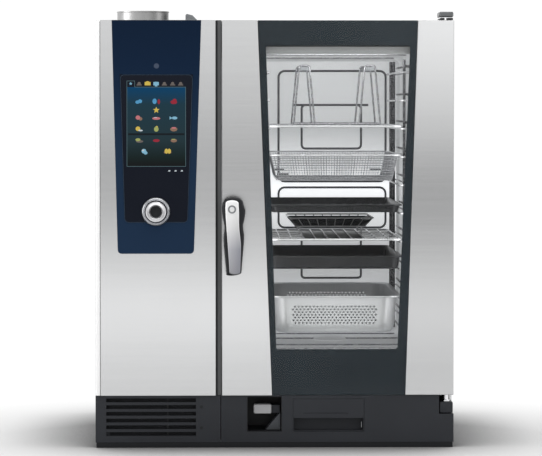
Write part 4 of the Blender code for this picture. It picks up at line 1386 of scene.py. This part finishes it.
def outline_between(left, right, cap_top, cap_bottom, count=28):
    """An outline in X and Z between two flanks; each flank lists (height, x) from top to bottom."""
    left_run = curve_through(left, count)
    right_run = curve_through(right, count)
    points = [(x, z) for z, x in reversed(right_run)]
    (z_right, x_right), (z_left, x_left) = right_run[0], left_run[0]
    steps = 10
    for step in range(1, steps):
        angle = math.pi * step / steps
        x = (x_left + x_right) / 2 + (x_right - x_left) / 2 * math.cos(angle)
        z = z_right + (z_left - z_right) * step / steps + cap_top * math.sin(angle)
        points.append((x, z))
    points += [(x, z) for z, x in left_run]
    (z_left, x_left), (z_right, x_right) = left_run[-1], right_run[-1]
    for step in range(1, steps):
        angle = math.pi * step / steps
        x = (x_left + x_right) / 2 - (x_right - x_left) / 2 * math.cos(angle)
        z = z_left + (z_right - z_left) * step / steps - cap_bottom * math.sin(angle)
        points.append((x, z))
    return points


def shrink(points, amount):
    """An outline drawn in by an amount, square to its edges."""
    result = []
    count = len(points)
    for index, (x, z) in enumerate(points):
        before = Vector(points[index - 1])
        after = Vector(points[(index + 1) % count])
        along = (after - before).normalized()
        result.append((x - along.y * amount, z + along.x * amount))
    return result


def dome_plate(outline, y_front, y_back, rounding, steps=4):
    """A plate whose front edge is rounded over."""
    loops = [[(x, y_back, z) for x, z in outline]]
    for step in range(steps + 1):
        angle = math.pi / 2 * step / steps
        drawn = shrink(outline, rounding * (1 - math.cos(angle)))
        y = y_front + rounding * (1 - math.sin(angle))
        loops.append([(x, y, z) for x, z in drawn])
    return loft(loops)


def ridged_plate(outline, y_front, y_back, rounding, rise):
    """A plate whose front leans to both sides of a ridge that runs down its lower part."""
    bm = dome_plate(outline, y_front + rise, y_back, rounding)
    front = max(bm.faces, key=lambda face: (len(face.verts), -face.calc_center_median().y))
    ring = list(front.verts)
    xs = [vert.co.x for vert in ring]
    zs = [vert.co.z for vert in ring]
    low, high = min(zs), max(zs)
    bmesh.ops.delete(bm, geom=[front], context="FACES_ONLY")
    spine = []
    steps = 24
    for index in range(steps + 1):
        share = index / steps
        z = low + 0.006 + (high - low - 0.012) * share
        near = [vert.co.x for vert in ring if abs(vert.co.z - z) < (high - low) / 22]
        left, right = (min(near), max(near)) if near else (min(xs), max(xs))
        x = left + (right - left) * (0.40 + 0.10 * share)
        ease = math.sin(math.pi * min(1.0, 2.2 * min(share, 1 - share)) / 2)
        spine.append(bm.verts.new((x, y_front + rise * (1 - ease), z)))
    count = len(ring)

    def nearest(vert):
        return min(range(len(spine)), key=lambda i: abs(spine[i].co.z - vert.co.z))

    picks = [nearest(vert) for vert in ring]
    for index, vert in enumerate(ring):
        after = (index + 1) % count
        first, second = picks[index], picks[after]
        if first == second:
            bm.faces.new((vert, ring[after], spine[first]))
            continue
        step = 1 if second > first else -1
        bm.faces.new((vert, ring[after], spine[first]))
        for k in range(first, second, step):
            bm.faces.new((ring[after], spine[k + step], spine[k]))
    return bm


def build_handle():
    """A waisted black lever with a polished steel face and a pivot ring."""
    pivot_x, pivot_z = -0.1016, 0.5683
    lo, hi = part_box("handle_backing")
    left_flank = [
        (0.5790, -0.1236),
        (0.5719, -0.1249),
        (0.5500, -0.1232),
        (0.5246, -0.1190),
        (0.4939, -0.1212),
        (0.4140, -0.1150),
    ]
    right_flank = [
        (0.5790, -0.0745),
        (0.5648, -0.0703),
        (0.5460, -0.0722),
        (0.5270, -0.0760),
        (0.5034, -0.0732),
        (0.4200, -0.0792),
    ]
    back = outline_between(left_flank, right_flank, 0.0180, 0.0050)
    body = dome_plate(back, lo.y, lo.y + 0.0215, 0.006)
    boss = turned("Y", (pivot_x, 0.0, pivot_z), [(0.0165, lo.y + 0.020), (0.0165, hi.y)], 48)
    piece("handle_lever", joined([body, boss]), "handle", "black", ["handle_backing"])
    lo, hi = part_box("handle_grip")
    face = outline_between(
        [(0.5830, -0.1165), (0.5670, -0.1170), (0.5049, -0.1132), (0.4203, -0.1078)],
        [(0.5830, -0.0862), (0.5670, -0.0852), (0.5236, -0.0845), (0.4837, -0.0806), (0.4203, -0.0822)],
        0.0065,
        0.0050,
    )
    plate = ridged_plate(face, lo.y + 0.0010, hi.y, 0.0028, 0.0016)
    piece("handle_face", plate, "handle", "handle_steel_painted_shade", ["handle_grip"])
    profile = [
        (0.0062, lo.y + 0.0008),
        (0.0096, lo.y + 0.0008),
        (0.0092, lo.y),
        (0.0068, lo.y),
        (0.0062, lo.y + 0.0004),
    ]
    ring = turned("Y", (pivot_x, 0.0, pivot_z), profile, 48, closed=True)
    piece("handle_pivot_ring", ring, "handle", "dark_steel")


# ---------------------------------------------------------------- control panel

def flat_disc(x, z, radius, y0, y1, count=32):
    """A disc that faces the front."""
    return turned("Y", (x, 0.0, z), [(radius, y1), (radius, y0)], count)


def build_dial():
    """The steel ring in the fascia, and the knob inside it with its ridged dark inlay."""
    lo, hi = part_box("dial_bezel")
    x, z = (lo.x + hi.x) / 2, (lo.z + hi.z) / 2
    front, back = lo.y, hi.y
    outer = 0.0340
    profile = [
        (0.0263, back),
        (outer, back),
        (outer, back - 0.0030),
        (outer - 0.0014, front + 0.0016),
        (outer - 0.0034, front),
        (0.0282, front + 0.0008),
        (0.0264, front + 0.0028),
    ]
    piece("dial_ring", turned("Y", (x, 0.0, z), profile, 96, closed=True), "cabinet", "ring", ["dial_bezel"])
    lo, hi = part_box("dial_knob")
    front, back = lo.y, hi.y
    knob = [
        (0.0050, front + 0.0055),
        (0.0050, back),
        (0.0240, back),
        (0.0244, front + 0.0030),
        (0.0236, front + 0.0010),
        (0.0218, front),
        (0.0165, front + 0.0006),
        (0.0152, front + 0.0018),
        (0.0148, front + 0.0034),
    ]
    piece("dial_cap", turned("Y", (x, 0.0, z), knob, 96), "dial_knob", "chrome", ["dial_knob"])
    rings = []
    for radius in (0.0142, 0.0116, 0.0090, 0.0064, 0.0038):
        ridge = [
            (radius, front + 0.0034),
            (radius - 0.0008, front + 0.0026),
            (radius - 0.0016, front + 0.0034),
        ]
        rings.append(turned("Y", (x, 0.0, z), ridge, 64, closed=True))
    rings.append(turned("Y", (x, 0.0, z), [(0.0144, front + 0.0032), (0.0144, front + 0.0044)], 64))
    piece("dial_inlay", joined(rings), "dial_knob", "black")


def star(x, z, radius):
    """The outline of a five-pointed star."""
    points = []
    for index in range(10):
        reach = radius if index % 2 == 0 else radius * 0.45
        angle = math.pi / 2 + math.tau * index / 10
        points.append((x + reach * math.cos(angle), z + reach * math.sin(angle)))
    return points


def blob(x, z, width, height, steps=16):
    """The outline of an ellipse."""
    angles = [math.tau * step / steps for step in range(steps)]
    return [(x + width / 2 * math.cos(angle), z + height / 2 * math.sin(angle)) for angle in angles]


def bar(x, z, width, height):
    """The outline of a rectangle."""
    left, right = x - width / 2, x + width / 2
    low, high = z - height / 2, z + height / 2
    return [(left, low), (right, low), (right, high), (left, high)]


def build_display():
    """A lit page with plain coloured pictograms, none of which is lettering."""
    lo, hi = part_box("touch_screen")
    face = lo.y
    layer = 0.00006
    left, right = lo.x + 0.0165, hi.x - 0.0173
    top, bottom = hi.z - 0.0295, lo.z + 0.1330
    middle = (left + right) / 2
    page_outline = [(left, bottom), (right, bottom), (right, top), (left, top)]
    page = prism("Y", page_outline, face - layer, face - layer / 3)
    piece("display_page", page, "cabinet", "page", smooth=False)

    line = 0.0011
    tab_right = left + 0.0185
    frame_bars = [
        bar(left, (top + bottom) / 2, line, top - bottom),
        bar(right, (top + bottom) / 2, line, top - bottom),
        bar((tab_right + right) / 2, top, right - tab_right, line),
        bar(middle, bottom, right - left, line),
        bar(tab_right, top + 0.007, line, 0.014),
        bar(left + 0.009, top + 0.0145, 0.019, line),
        bar(left, top + 0.007, line, 0.015),
    ]
    tints = {
        "teal_line": ((0.10, 0.17, 0.19), 1.0),
        "sky": ((0.10, 0.35, 0.60), 1.0),
        "pale_sky": ((0.24, 0.50, 0.66), 1.0),
        "yellow": ((0.70, 0.52, 0.10), 1.0),
        "leaf": ((0.38, 0.42, 0.14), 1.0),
        "red": ((0.34, 0.03, 0.05), 1.0),
        "rose": ((0.60, 0.20, 0.22), 1.0),
        "brown": ((0.28, 0.17, 0.12), 1.0),
        "dusk": ((0.16, 0.14, 0.13), 1.0),
        "white": ((0.60, 0.66, 0.70), 1.0),
        "dark_band": ((0.012, 0.016, 0.020), 1.0),
        # The light sensor's faint glow is painted light; the sensor is no lamp.
        "sensor": ((0.10, 0.13, 0.20), 0.7),
    }
    for tint, (colour, strength) in tints.items():
        materials[tint] = glowing(f"display_{tint}", colour, strength)

    column = (left + 0.0280, middle, right - 0.0280)
    row_z = [top - 0.0345 - 0.0385 * n for n in range(3)]
    third = row_z[2] + 0.012
    fourth, fifth = bottom + 0.0610, bottom + 0.0360
    status_z = top + 0.0080
    dim_tabs = (0.0290, 0.0885, 0.1080, 0.1270)
    fish_tail = [
        (column[2] - 0.003, row_z[1]),
        (column[2] - 0.010, row_z[1] + 0.004),
        (column[2] - 0.010, row_z[1] - 0.004),
    ]
    shapes = {
        "teal_line": frame_bars,
        "dark_band": [bar(middle, bottom + 0.0760, right - left - 0.006, 0.0045)],
        "dusk": [
            *[blob(left + offset, status_z, 0.0080, 0.0085) for offset in dim_tabs],
            *[bar(left + offset, status_z - 0.003, 0.0120, 0.0025) for offset in dim_tabs],
            blob(column[0] + 0.002, fourth - 0.002, 0.0170, 0.0060),
        ],
        "brown": [
            blob(column[2], third, 0.0170, 0.0105),
            blob(column[2], fourth, 0.0150, 0.0085),
            blob(column[0] + 0.004, row_z[1] - 0.002, 0.0090, 0.0080),
            bar(left + 0.0960, fifth - 0.003, 0.0170, 0.0040),
        ],
        "pale_sky": [
            star(left + 0.009, status_z, 0.0042),
            bar(left + 0.0690, status_z, 0.0130, 0.0080),
            bar(left + 0.0690, status_z - 0.001, 0.0060, 0.0110),
            blob(column[2] + 0.002, row_z[1], 0.0130, 0.0070),
            fish_tail,
            blob(left + 0.0400, fifth, 0.0110, 0.0110),
            blob(left + 0.0440, fifth - 0.004, 0.0090, 0.0080),
        ],
        "yellow": [
            bar(left + 0.0490, status_z, 0.0140, 0.0080),
            blob(left + 0.0490, status_z + 0.002, 0.0100, 0.0080),
            star(column[1], row_z[0] - 0.0200, 0.0080),
            blob(column[0] - 0.002, third + 0.001, 0.0110, 0.0110),
            blob(left + 0.0930, fifth, 0.0080, 0.0120),
            blob(left + 0.1000, fifth, 0.0080, 0.0120),
            blob(column[1] + 0.001, third + 0.005, 0.0060, 0.0050),
        ],
        "sky": [
            blob(column[0] - 0.003, row_z[0] - 0.001, 0.0100, 0.0080),
            blob(column[0] + 0.003, row_z[0] + 0.001, 0.0100, 0.0090),
            blob(column[1] - 0.004, row_z[0] + 0.001, 0.0100, 0.0130),
        ],
        "red": [
            blob(column[1] + 0.006, row_z[0], 0.0060, 0.0120),
            blob(column[2], row_z[0] - 0.001, 0.0160, 0.0095),
            blob(column[2] + 0.002, row_z[0] + 0.003, 0.0090, 0.0080),
            blob(column[1], fourth, 0.0160, 0.0070),
        ],
        "rose": [
            blob(column[0] - 0.002, row_z[1] + 0.001, 0.0110, 0.0100),
            blob(column[1], row_z[1] - 0.001, 0.0190, 0.0065),
            blob(column[2], third + 0.003, 0.0110, 0.0040),
        ],
        "leaf": [
            blob(column[1], third, 0.0110, 0.0120),
            blob(column[0] - 0.002, fourth + 0.002, 0.0120, 0.0070),
            bar(column[2] - 0.001, fourth + 0.003, 0.0080, 0.0020),
        ],
        "white": [
            *[blob(right - 0.0385 + 0.0148 * n, bottom - 0.0105, 0.0050, 0.0036, 10) for n in range(3)],
            *[bar(right - 0.0400 + 0.0148 * n, bottom - 0.0115, 0.0040, 0.0009) for n in range(3)],
            blob(column[0] + 0.004, third - 0.003, 0.0110, 0.0040),
            blob(left + 0.0380, fifth + 0.002, 0.0050, 0.0040),
            blob(column[1] - 0.002, row_z[1] + 0.001, 0.0080, 0.0016),
        ],
    }
    for order, (tint, outlines) in enumerate(shapes.items()):
        depth = layer * (1.5 + 0.3 * order)
        marks = [prism("Y", outline, face - depth, face - layer * 1.1) for outline in outlines]
        piece(f"display_{tint}", joined(marks), "cabinet", tint, smooth=False)


def build_fascia_details():
    """The light sensor above the screen, and the fine line round the black glass."""
    lo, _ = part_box("control_fascia")
    screen_lo, screen_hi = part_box("touch_screen")
    x = (screen_lo.x + screen_hi.x) / 2
    dot = flat_disc(x, screen_hi.z + 0.0204, 0.0062, lo.y - 0.0002, lo.y - 0.00005)
    piece("light_sensor", dot, "cabinet", "sensor", smooth=False)
    inset = 0.0007
    y = screen_lo.y + 0.0001
    foot = 0.0108  # the glass is this much narrower on each side at its foot
    corners = [
        (screen_lo.x + inset, y, screen_hi.z - inset),
        (screen_hi.x - inset, y, screen_hi.z - inset),
        (screen_hi.x - foot - 0.0017 - inset, y, screen_lo.z + inset),
        (screen_lo.x + foot + inset, y, screen_lo.z + inset),
    ]
    edge = filleted(corners, 0.0090, closed=True)
    wires("screen_edge", [(edge, True)], 0.0004, "cabinet", "glass_edge", sides=1)


# ---------------------------------------------------------------- base

def build_base_details():
    """A rib and a shortened slot behind the louvres, a black skirt along the floor that also stands in for
    the shade in the gap under the base (painted shade), and two latches.
    """
    lo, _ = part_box("base_grille")
    filter_lo, filter_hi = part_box("air_filter")
    y = filter_lo.y - 0.0035
    rib = block((-0.2560, y, filter_lo.z), (-0.2520, y + 0.003, filter_hi.z))
    piece("grille_rib", rib, "cabinet", "black", smooth=False)
    base_lo, base_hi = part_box("base_fascia")
    # A black skirt set back under the base; its dark also stands in for the shade in the gap below (painted
    # shade).
    skirt = block(
        (lo.x + 0.002, base_lo.y + 0.0008, 0.0003),
        (base_hi.x - 0.002, base_lo.y + 0.0048, base_lo.z - 0.0002),
    )
    piece("base_skirt_and_shade", skirt, "cabinet", "black", smooth=False)
    short = block((lo.x + 0.024, y, 0.0276), (lo.x + 0.034, y + 0.003, 0.0382))
    piece("grille_short_slot", short, "cabinet", "charcoal", smooth=False)
    latches = [flat_disc(-0.1740, z, 0.0040, lo.y - 0.0004, lo.y + 0.0006, 20) for z in (0.0970, 0.0475)]
    piece("filter_latches", joined(latches), "cabinet", "black", smooth=False)


def build_care_drawer():
    """The front's lower part stands back, so that fingers reach behind the upper part."""
    lo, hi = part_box("care_drawer")
    wall = 0.002
    split = 0.0696
    slot = (0.0800, 0.0822)
    slot_x = (lo.x + 0.0245, hi.x - 0.0375)
    xs = (lo.x, lo.x + wall, slot_x[0], slot_x[1], hi.x - wall, hi.x)
    ys = (lo.y, lo.y + 0.0012, lo.y + 0.0045, lo.y + 0.0245, lo.y + 0.0275, hi.y - 0.003, hi.y)
    zs = (lo.z, lo.z + wall, split, *slot, hi.z)

    def is_solid(i, j, k):
        upper = k >= 2
        if j == 0:
            return upper and not (i == 2 and k == 3)
        if j == 1:
            return upper or k == 0 or i in (0, 4)
        if j in (3, 5):
            return True
        return k == 0 or i in (0, 4)

    drawer = piece(
        "care_drawer_moulding",
        cells(xs, ys, zs, is_solid),
        "care_drawer",
        "charcoal",
        ["care_drawer"],
        smooth=False,
    )
    bevel(drawer, 0.0007)
    # Painted highlight: a thin metal strip at the right of the grip recess stands in for the highlight there.
    rail = block((hi.x - 0.0062, lo.y + 0.012, lo.z + 0.008), (hi.x - 0.0050, lo.y + 0.0150, split - 0.010))
    piece("care_drawer_highlight_strip", rail, "care_drawer", "ring", smooth=False)


def build_hand_shower():
    """The pale grip, with a wedge and a socket of the housing beside it."""
    lo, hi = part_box("hand_shower")
    cx, cz = (lo.x + hi.x) / 2, (lo.z + hi.z) / 2
    half = ((hi.x - lo.x) / 2, (hi.z - lo.z) / 2)
    loops = []
    for y, share, radius in (
        (lo.y, 0.90, 0.0025),
        (lo.y + 0.0015, 0.98, 0.0030),
        (lo.y + 0.030, 1.0, 0.0040),
        (lo.y + 0.060, 0.80, 0.0060),
        (hi.y, 0.66, 0.0060),
    ):
        outline = rounded((cx, cz), (half[0] * share, half[1] * share), radius, 4)
        loops.append([(x, y, z) for x, z in outline])
    piece("shower_grip", loft(loops), "hand_shower", "light_grey", ["hand_shower"])
    housing_lo, housing_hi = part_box("shower_housing")
    wall = 0.0035
    right, low = housing_hi.x - wall, housing_lo.z + wall
    wedge = prism(
        "Y",
        [(right - 0.034, low), (right, low), (right, low + 0.040)],
        housing_lo.y + 0.010,
        housing_lo.y + 0.060,
    )
    # The wedge's colour is painted shade and light.
    piece("shower_wedge", wedge, "cabinet", "recess_plastic_painted_light", smooth=False)
    socket = block((hi.x + 0.0006, lo.y + 0.006, lo.z + 0.001), (right - 0.001, lo.y + 0.050, hi.z - 0.002))
    piece("shower_socket", socket, "cabinet", "charcoal", smooth=False)


# ---------------------------------------------------------------- top, back and sides

def build_post_shadow():
    """A black strip down the left of the post between the column and the door, standing in for the shadow in
    the gap there (painted shadow).
    """
    lo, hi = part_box("centre_post")
    lip = block((lo.x + 0.0006, lo.y - 0.0012, lo.z + 0.001), (lo.x + 0.0046, lo.y - 0.0002, hi.z - 0.001))
    piece("post_shadow_strip", lip, "cabinet", "black", smooth=False)


def build_edge_trim():
    """The folded front edge of the left side panel, a near-white matte strip that stands in for the highlight
    on its rounded corner (painted highlight).
    """
    lo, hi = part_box("side_panel_left")
    cover_lo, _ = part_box("column_front_cover")
    left, right = lo.x + 0.0010, cover_lo.x - 0.0012
    centre, half = (left + right) / 2, (right - left) / 2
    outline = []
    for step in range(13):
        angle = math.pi * step / 12
        outline.append((centre - half * math.cos(angle), lo.y + 0.0002 - 0.0024 * math.sin(angle)))
    fold = prism("Z", outline, cover_lo.z + 0.0004, hi.z - 0.0010)
    piece("side_panel_fold", fold, "cabinet", "painted_highlight_edge")


def build_vents():
    """The exhaust pipe with its rolled rim, and the hood over the relief vent."""
    lo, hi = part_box("vent_pipe")
    centre = ((lo.x + hi.x) / 2, (lo.y + hi.y) / 2, 0.0)
    radius = (hi.x - lo.x) / 2
    wall = 0.0012
    profile = [
        (radius - wall - 0.0015, lo.z),
        (radius - 0.0015, lo.z),
        (radius - 0.0015, hi.z - 0.004),
        (radius, hi.z - 0.003),
        (radius, hi.z - 0.0008),
        (radius - 0.0012, hi.z),
        (radius - wall - 0.0015, hi.z - 0.001),
    ]
    piece("exhaust_pipe", turned("Z", centre, profile, 96, closed=True), "cabinet", "pipe", ["vent_pipe"])
    lo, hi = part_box("relief_vent")
    left, right = lo.x - 0.004, hi.x + 0.002
    hood = [
        (left, lo.z),
        (right, lo.z),
        (right, lo.z + 0.010),
        (right - 0.016, lo.z + 0.026),
        (left + 0.003, lo.z + 0.030),
        (left, lo.z + 0.026),
    ]
    vent = piece("relief_hood", prism("Y", hood, lo.y, hi.y), "cabinet", "cast_motor", ["relief_vent"])
    bevel(vent, 0.0020, 3)


def build_top_screws():
    """Flat-headed screws that hold the top cover down, along its sides and its rear edge."""
    lo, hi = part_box("top_cover")
    places = [(x, y) for x in (lo.x + 0.018, hi.x - 0.018) for y in (-0.200, 0.0, 0.200)]
    places += [(x, hi.y - 0.018) for x in (-0.260, -0.090, 0.090, 0.260)]
    screws = []
    for x, y in places:
        head = [
            (0.0048, hi.z - 0.0005),
            (0.0046, hi.z + 0.0009),
            (0.0034, hi.z + 0.0013),
            (0.0016, hi.z + 0.0008),
        ]
        screws.append(turned("Z", (x, y, 0.0), head, 20))
    piece("top_screws", joined(screws), "cabinet", "chrome")


def build_rear_panel():
    """The rear cover with two fields of vent slots, its service ports, supply cover and screws."""
    lo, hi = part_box("rear_panel")
    xs = [lo.x]
    slot_width, slot_gap = 0.070, 0.012
    fields = (-0.330, 0.172)
    for start in fields:
        for index in range(2):
            left = start + index * (slot_width + slot_gap)
            xs += [left, left + slot_width]
    xs.append(hi.x)
    zs = [lo.z]
    for index in range(10):
        low = 0.660 + index * 0.014
        zs += [low, low + 0.005]
    zs.append(hi.z)
    face = hi.y - 0.0006
    sheet = cells(xs, (lo.y + 0.0020, face), zs, lambda i, j, k: not (i % 2 == 1 and k % 2 == 1))
    piece("rear_cover", sheet, "cabinet", "steel_front", ["rear_panel"], smooth=False)
    ports = []
    port_face = hi.y - 0.0004
    services = ((-0.345, 0.200, 0.016), (-0.290, 0.200, 0.016), (0.230, 0.170, 0.022))
    for x, z, radius in services:
        ring = [
            (radius * 0.62, face + 0.0001),
            (radius, face + 0.0001),
            (radius, port_face - 0.0002),
            (radius * 0.62, port_face),
        ]
        ports.append(turned("Y", (x, 0.0, z), ring, 32, closed=True))
    piece("service_ports", joined(ports), "cabinet", "ring")
    plugs = [
        turned("Y", (x, 0.0, z), [(radius * 0.60, face + 0.0001), (radius * 0.60, port_face - 0.0001)], 32)
        for x, z, radius in services
    ]
    piece("service_plugs", joined(plugs), "cabinet", "black")
    plate = prism("Y", rounded((-0.330, 0.330), (0.040, 0.028), 0.006), face + 0.0001, port_face)
    piece("supply_cover", plate, "cabinet", "charcoal")
    head = [
        (0.0050, face - 0.001),
        (0.0048, hi.y - 0.0002),
        (0.0036, hi.y),
        (0.0020, hi.y),
        (0.0016, hi.y - 0.0005),
    ]
    screws = []
    for x in (lo.x + 0.016, -0.130, 0.130, hi.x - 0.016):
        for z in (0.060, 0.300, 0.560, 0.960):
            screws.append(turned("Y", (x, 0.0, z), head, 20))
    piece("rear_screws", joined(screws), "cabinet", "chrome")


# ---------------------------------------------------------------- stage

def build_stage():
    """A pale floor that is softly shaded round the object and melts into the white behind it."""
    floor = bpy.data.meshes.new("studio_floor")
    reach = 14.0
    corners = [(-reach, -reach, 0.0), (reach, -reach, 0.0), (reach, reach, 0.0), (-reach, reach, 0.0)]
    floor.from_pydata(corners, [], [(0, 1, 2, 3)])
    finish = Finish("studio_paper", Roughness=0.9, Specular_IOR_Level=0.05)
    middle = finish.node("ShaderNodeVectorMath", Vector=finish.place())
    middle.operation = "DISTANCE"
    middle.inputs[1].default_value = (0.0, -0.60, 0.0)
    far = finish.remap(middle.outputs["Value"], 0.0, 1.0, 0.85, 1.50)
    tone = finish.blend(finish.noise(1.5), grey(FLOOR_TONE), grey(FLOOR_TONE * 1.03))
    contact = finish.node("ShaderNodeAmbientOcclusion", Distance=CONTACT_REACH)
    contact.samples = 12
    openness = finish.times(contact.outputs["AO"], CONTACT_DEPTH, "POWER")
    finish.feed(Base_Color=finish.blend(openness, grey(0.0), tone))
    glow = finish.node("ShaderNodeEmission", Color=(1.0, 1.0, 1.0, 1.0), Strength=PAPER_WHITE)
    mix = finish.node("ShaderNodeMixShader", Fac=far)
    finish.links.new(finish.shader.outputs["BSDF"], mix.inputs[1])
    finish.links.new(glow.outputs["Emission"], mix.inputs[2])
    finish.links.new(mix.outputs["Shader"], finish.nodes["Material Output"].inputs["Surface"])
    floor.materials.append(finish.material)
    obj = bpy.data.objects.new("studio_floor", floor)
    bpy.context.scene.collection.objects.link(obj)


def card(name, corners, stops, axis_range):
    """A glowing card that only reflections and soft light see; its glow follows the height."""
    mesh = bpy.data.meshes.new(name)
    mesh.from_pydata(corners, [], [(0, 1, 2, 3)])
    material = bpy.data.materials.new(name)
    material.use_nodes = True
    tree = material.node_tree
    tree.nodes.clear()
    coords = tree.nodes.new("ShaderNodeTexCoord")
    parts = tree.nodes.new("ShaderNodeSeparateXYZ")
    scale = tree.nodes.new("ShaderNodeMapRange")
    ramp = tree.nodes.new("ShaderNodeValToRGB")
    glow = tree.nodes.new("ShaderNodeEmission")
    output = tree.nodes.new("ShaderNodeOutputMaterial")
    scale.inputs["From Min"].default_value, scale.inputs["From Max"].default_value = axis_range
    elements = ramp.color_ramp.elements
    ramp.color_ramp.interpolation = "EASE"
    while len(elements) < len(stops):
        elements.new(0.5)
    for element, (height, level) in zip(elements, stops):
        element.position = (height - axis_range[0]) / (axis_range[1] - axis_range[0])
        element.color = (level, level, level, 1.0)
    tree.links.new(coords.outputs["Object"], parts.inputs["Vector"])
    tree.links.new(parts.outputs["Z"], scale.inputs["Value"])
    tree.links.new(scale.outputs["Result"], ramp.inputs["Fac"])
    tree.links.new(ramp.outputs["Color"], glow.inputs["Color"])
    tree.links.new(glow.outputs["Emission"], output.inputs["Surface"])
    mesh.materials.append(material)
    obj = bpy.data.objects.new(name, mesh)
    bpy.context.scene.collection.objects.link(obj)
    obj.visible_camera = False
    obj.visible_shadow = False
    return obj


def area_light(name, place, aim, size, power):
    """A rectangular white light that the camera doesn't see."""
    light = bpy.data.lights.new(name, "AREA")
    light.shape = "RECTANGLE"
    light.size, light.size_y = size
    light.energy = power
    obj = bpy.data.objects.new(name, light)
    obj.location = place
    obj.rotation_mode = "QUATERNION"
    obj.rotation_quaternion = (Vector(aim) - Vector(place)).to_track_quat("-Z", "Y")
    bpy.context.scene.collection.objects.link(obj)
    obj.visible_camera = False
    return obj


def build_lights():
    """Two cards that the front steel mirrors, four softboxes round the object, and the cavity's lamps."""
    card_y = -1.9
    left_stops = [
        (-0.60, 0.45),
        (-0.08, 0.58),
        (0.06, 0.92),
        (0.21, 1.36),
        (0.38, 0.86),
        (0.55, 0.54),
        (0.66, 0.52),
        (0.82, 0.78),
        (1.05, 0.96),
        (1.60, 1.10),
    ]
    right_stops = [
        (-0.60, 0.35),
        (-0.08, 0.34),
        (0.06, 0.68),
        (0.20, 1.16),
        (0.36, 0.72),
        (0.50, 0.42),
        (0.60, 0.44),
        (0.80, 0.93),
        (1.05, 1.28),
        (1.60, 1.35),
    ]
    for name, left, right, stops in (
        ("front_card_left", -1.6, 0.215, left_stops),
        ("front_card_right", 0.215, 1.6, right_stops),
    ):
        corners = [(left, card_y, -0.6), (right, card_y, -0.6), (right, card_y, 1.6), (left, card_y, 1.6)]
        card(name, corners, stops, (-0.6, 1.6))
    area_light("top_softbox", (-0.2, -0.6, 3.2), (0.0, 0.1, 0.0), (3.0, 2.4), 45.0)
    area_light("left_softbox", (-3.2, -0.6, 1.2), (-0.4, 0.0, 0.6), (1.6, 2.4), 26.0)
    area_light("right_softbox", (3.2, -0.6, 1.2), (0.4, 0.0, 0.6), (1.6, 2.4), 20.0)
    area_light("back_softbox", (0.0, 3.4, 1.6), (0.0, 0.4, 0.5), (3.0, 2.0), 16.0)
    area_light("cavity_light_front", (0.145, -0.262, 0.915), (0.145, 0.31, 0.60), (0.26, 0.02), 0.10)
    area_light("cavity_light_left", (-0.004, -0.266, 0.580), (0.200, 0.31, 0.580), (0.02, 0.60), 0.05)
    area_light("cavity_light_right", (0.300, -0.266, 0.580), (0.100, 0.31, 0.580), (0.02, 0.60), 0.05)


def build_world():
    """White behind the object; a softer grey room for reflections and fill."""
    world = bpy.data.worlds.new("studio")
    bpy.context.scene.world = world
    world.use_nodes = True
    tree = world.node_tree
    tree.nodes.clear()
    path = tree.nodes.new("ShaderNodeLightPath")
    seen = tree.nodes.new("ShaderNodeBackground")
    room = tree.nodes.new("ShaderNodeBackground")
    mix = tree.nodes.new("ShaderNodeMixShader")
    output = tree.nodes.new("ShaderNodeOutputWorld")
    seen.inputs["Color"].default_value = (1.0, 1.0, 1.0, 1.0)
    seen.inputs["Strength"].default_value = PAPER_WHITE
    room.inputs["Color"].default_value = (1.0, 1.0, 1.0, 1.0)
    room.inputs["Strength"].default_value = ROOM_LIGHT
    tree.links.new(path.outputs["Is Camera Ray"], mix.inputs["Fac"])
    tree.links.new(room.outputs["Background"], mix.inputs[1])
    tree.links.new(seen.outputs["Background"], mix.inputs[2])
    tree.links.new(mix.outputs["Shader"], output.inputs["Surface"])


def build_camera():
    """A long lens 0.8 m above the floor, a little left of the middle, with a small vertical shift."""
    camera = bpy.data.cameras.new("camera")
    camera.sensor_width = 36.0
    camera.lens = 185.3
    camera.shift_y = -0.0952
    obj = bpy.data.objects.new("camera", camera)
    obj.location = (-0.132, -6.954, 0.817)
    aim = Vector((-0.009, -0.354, 0.644))
    obj.rotation_mode = "QUATERNION"
    obj.rotation_quaternion = (aim - obj.location).to_track_quat("-Z", "Y")
    bpy.context.scene.collection.objects.link(obj)
    bpy.context.scene.camera = obj


# ---------------------------------------------------------------- assembly

build_camera()
build_world()
build_lights()
build_stage()
finish_cad_nodes()
build_back_wall(build_cavity())
build_cavity_floor()
build_gasket()
build_baffle()
for rack_side in (-1, 1):
    build_rack(rack_side)
wire_shelf("wire_shelf_upper")
wire_shelf("wire_shelf_lower")
poultry_stand()
fry_basket()
build_trays()
perforated_container()
wire_form()
build_door_masks()
build_hinges()
build_handle()
build_dial()
build_display()
build_fascia_details()
build_base_details()
build_care_drawer()
build_hand_shower()
build_edge_trim()
build_post_shadow()
build_vents()
build_top_screws()
build_rear_panel()

bpy.context.scene.view_settings.view_transform = "Standard"
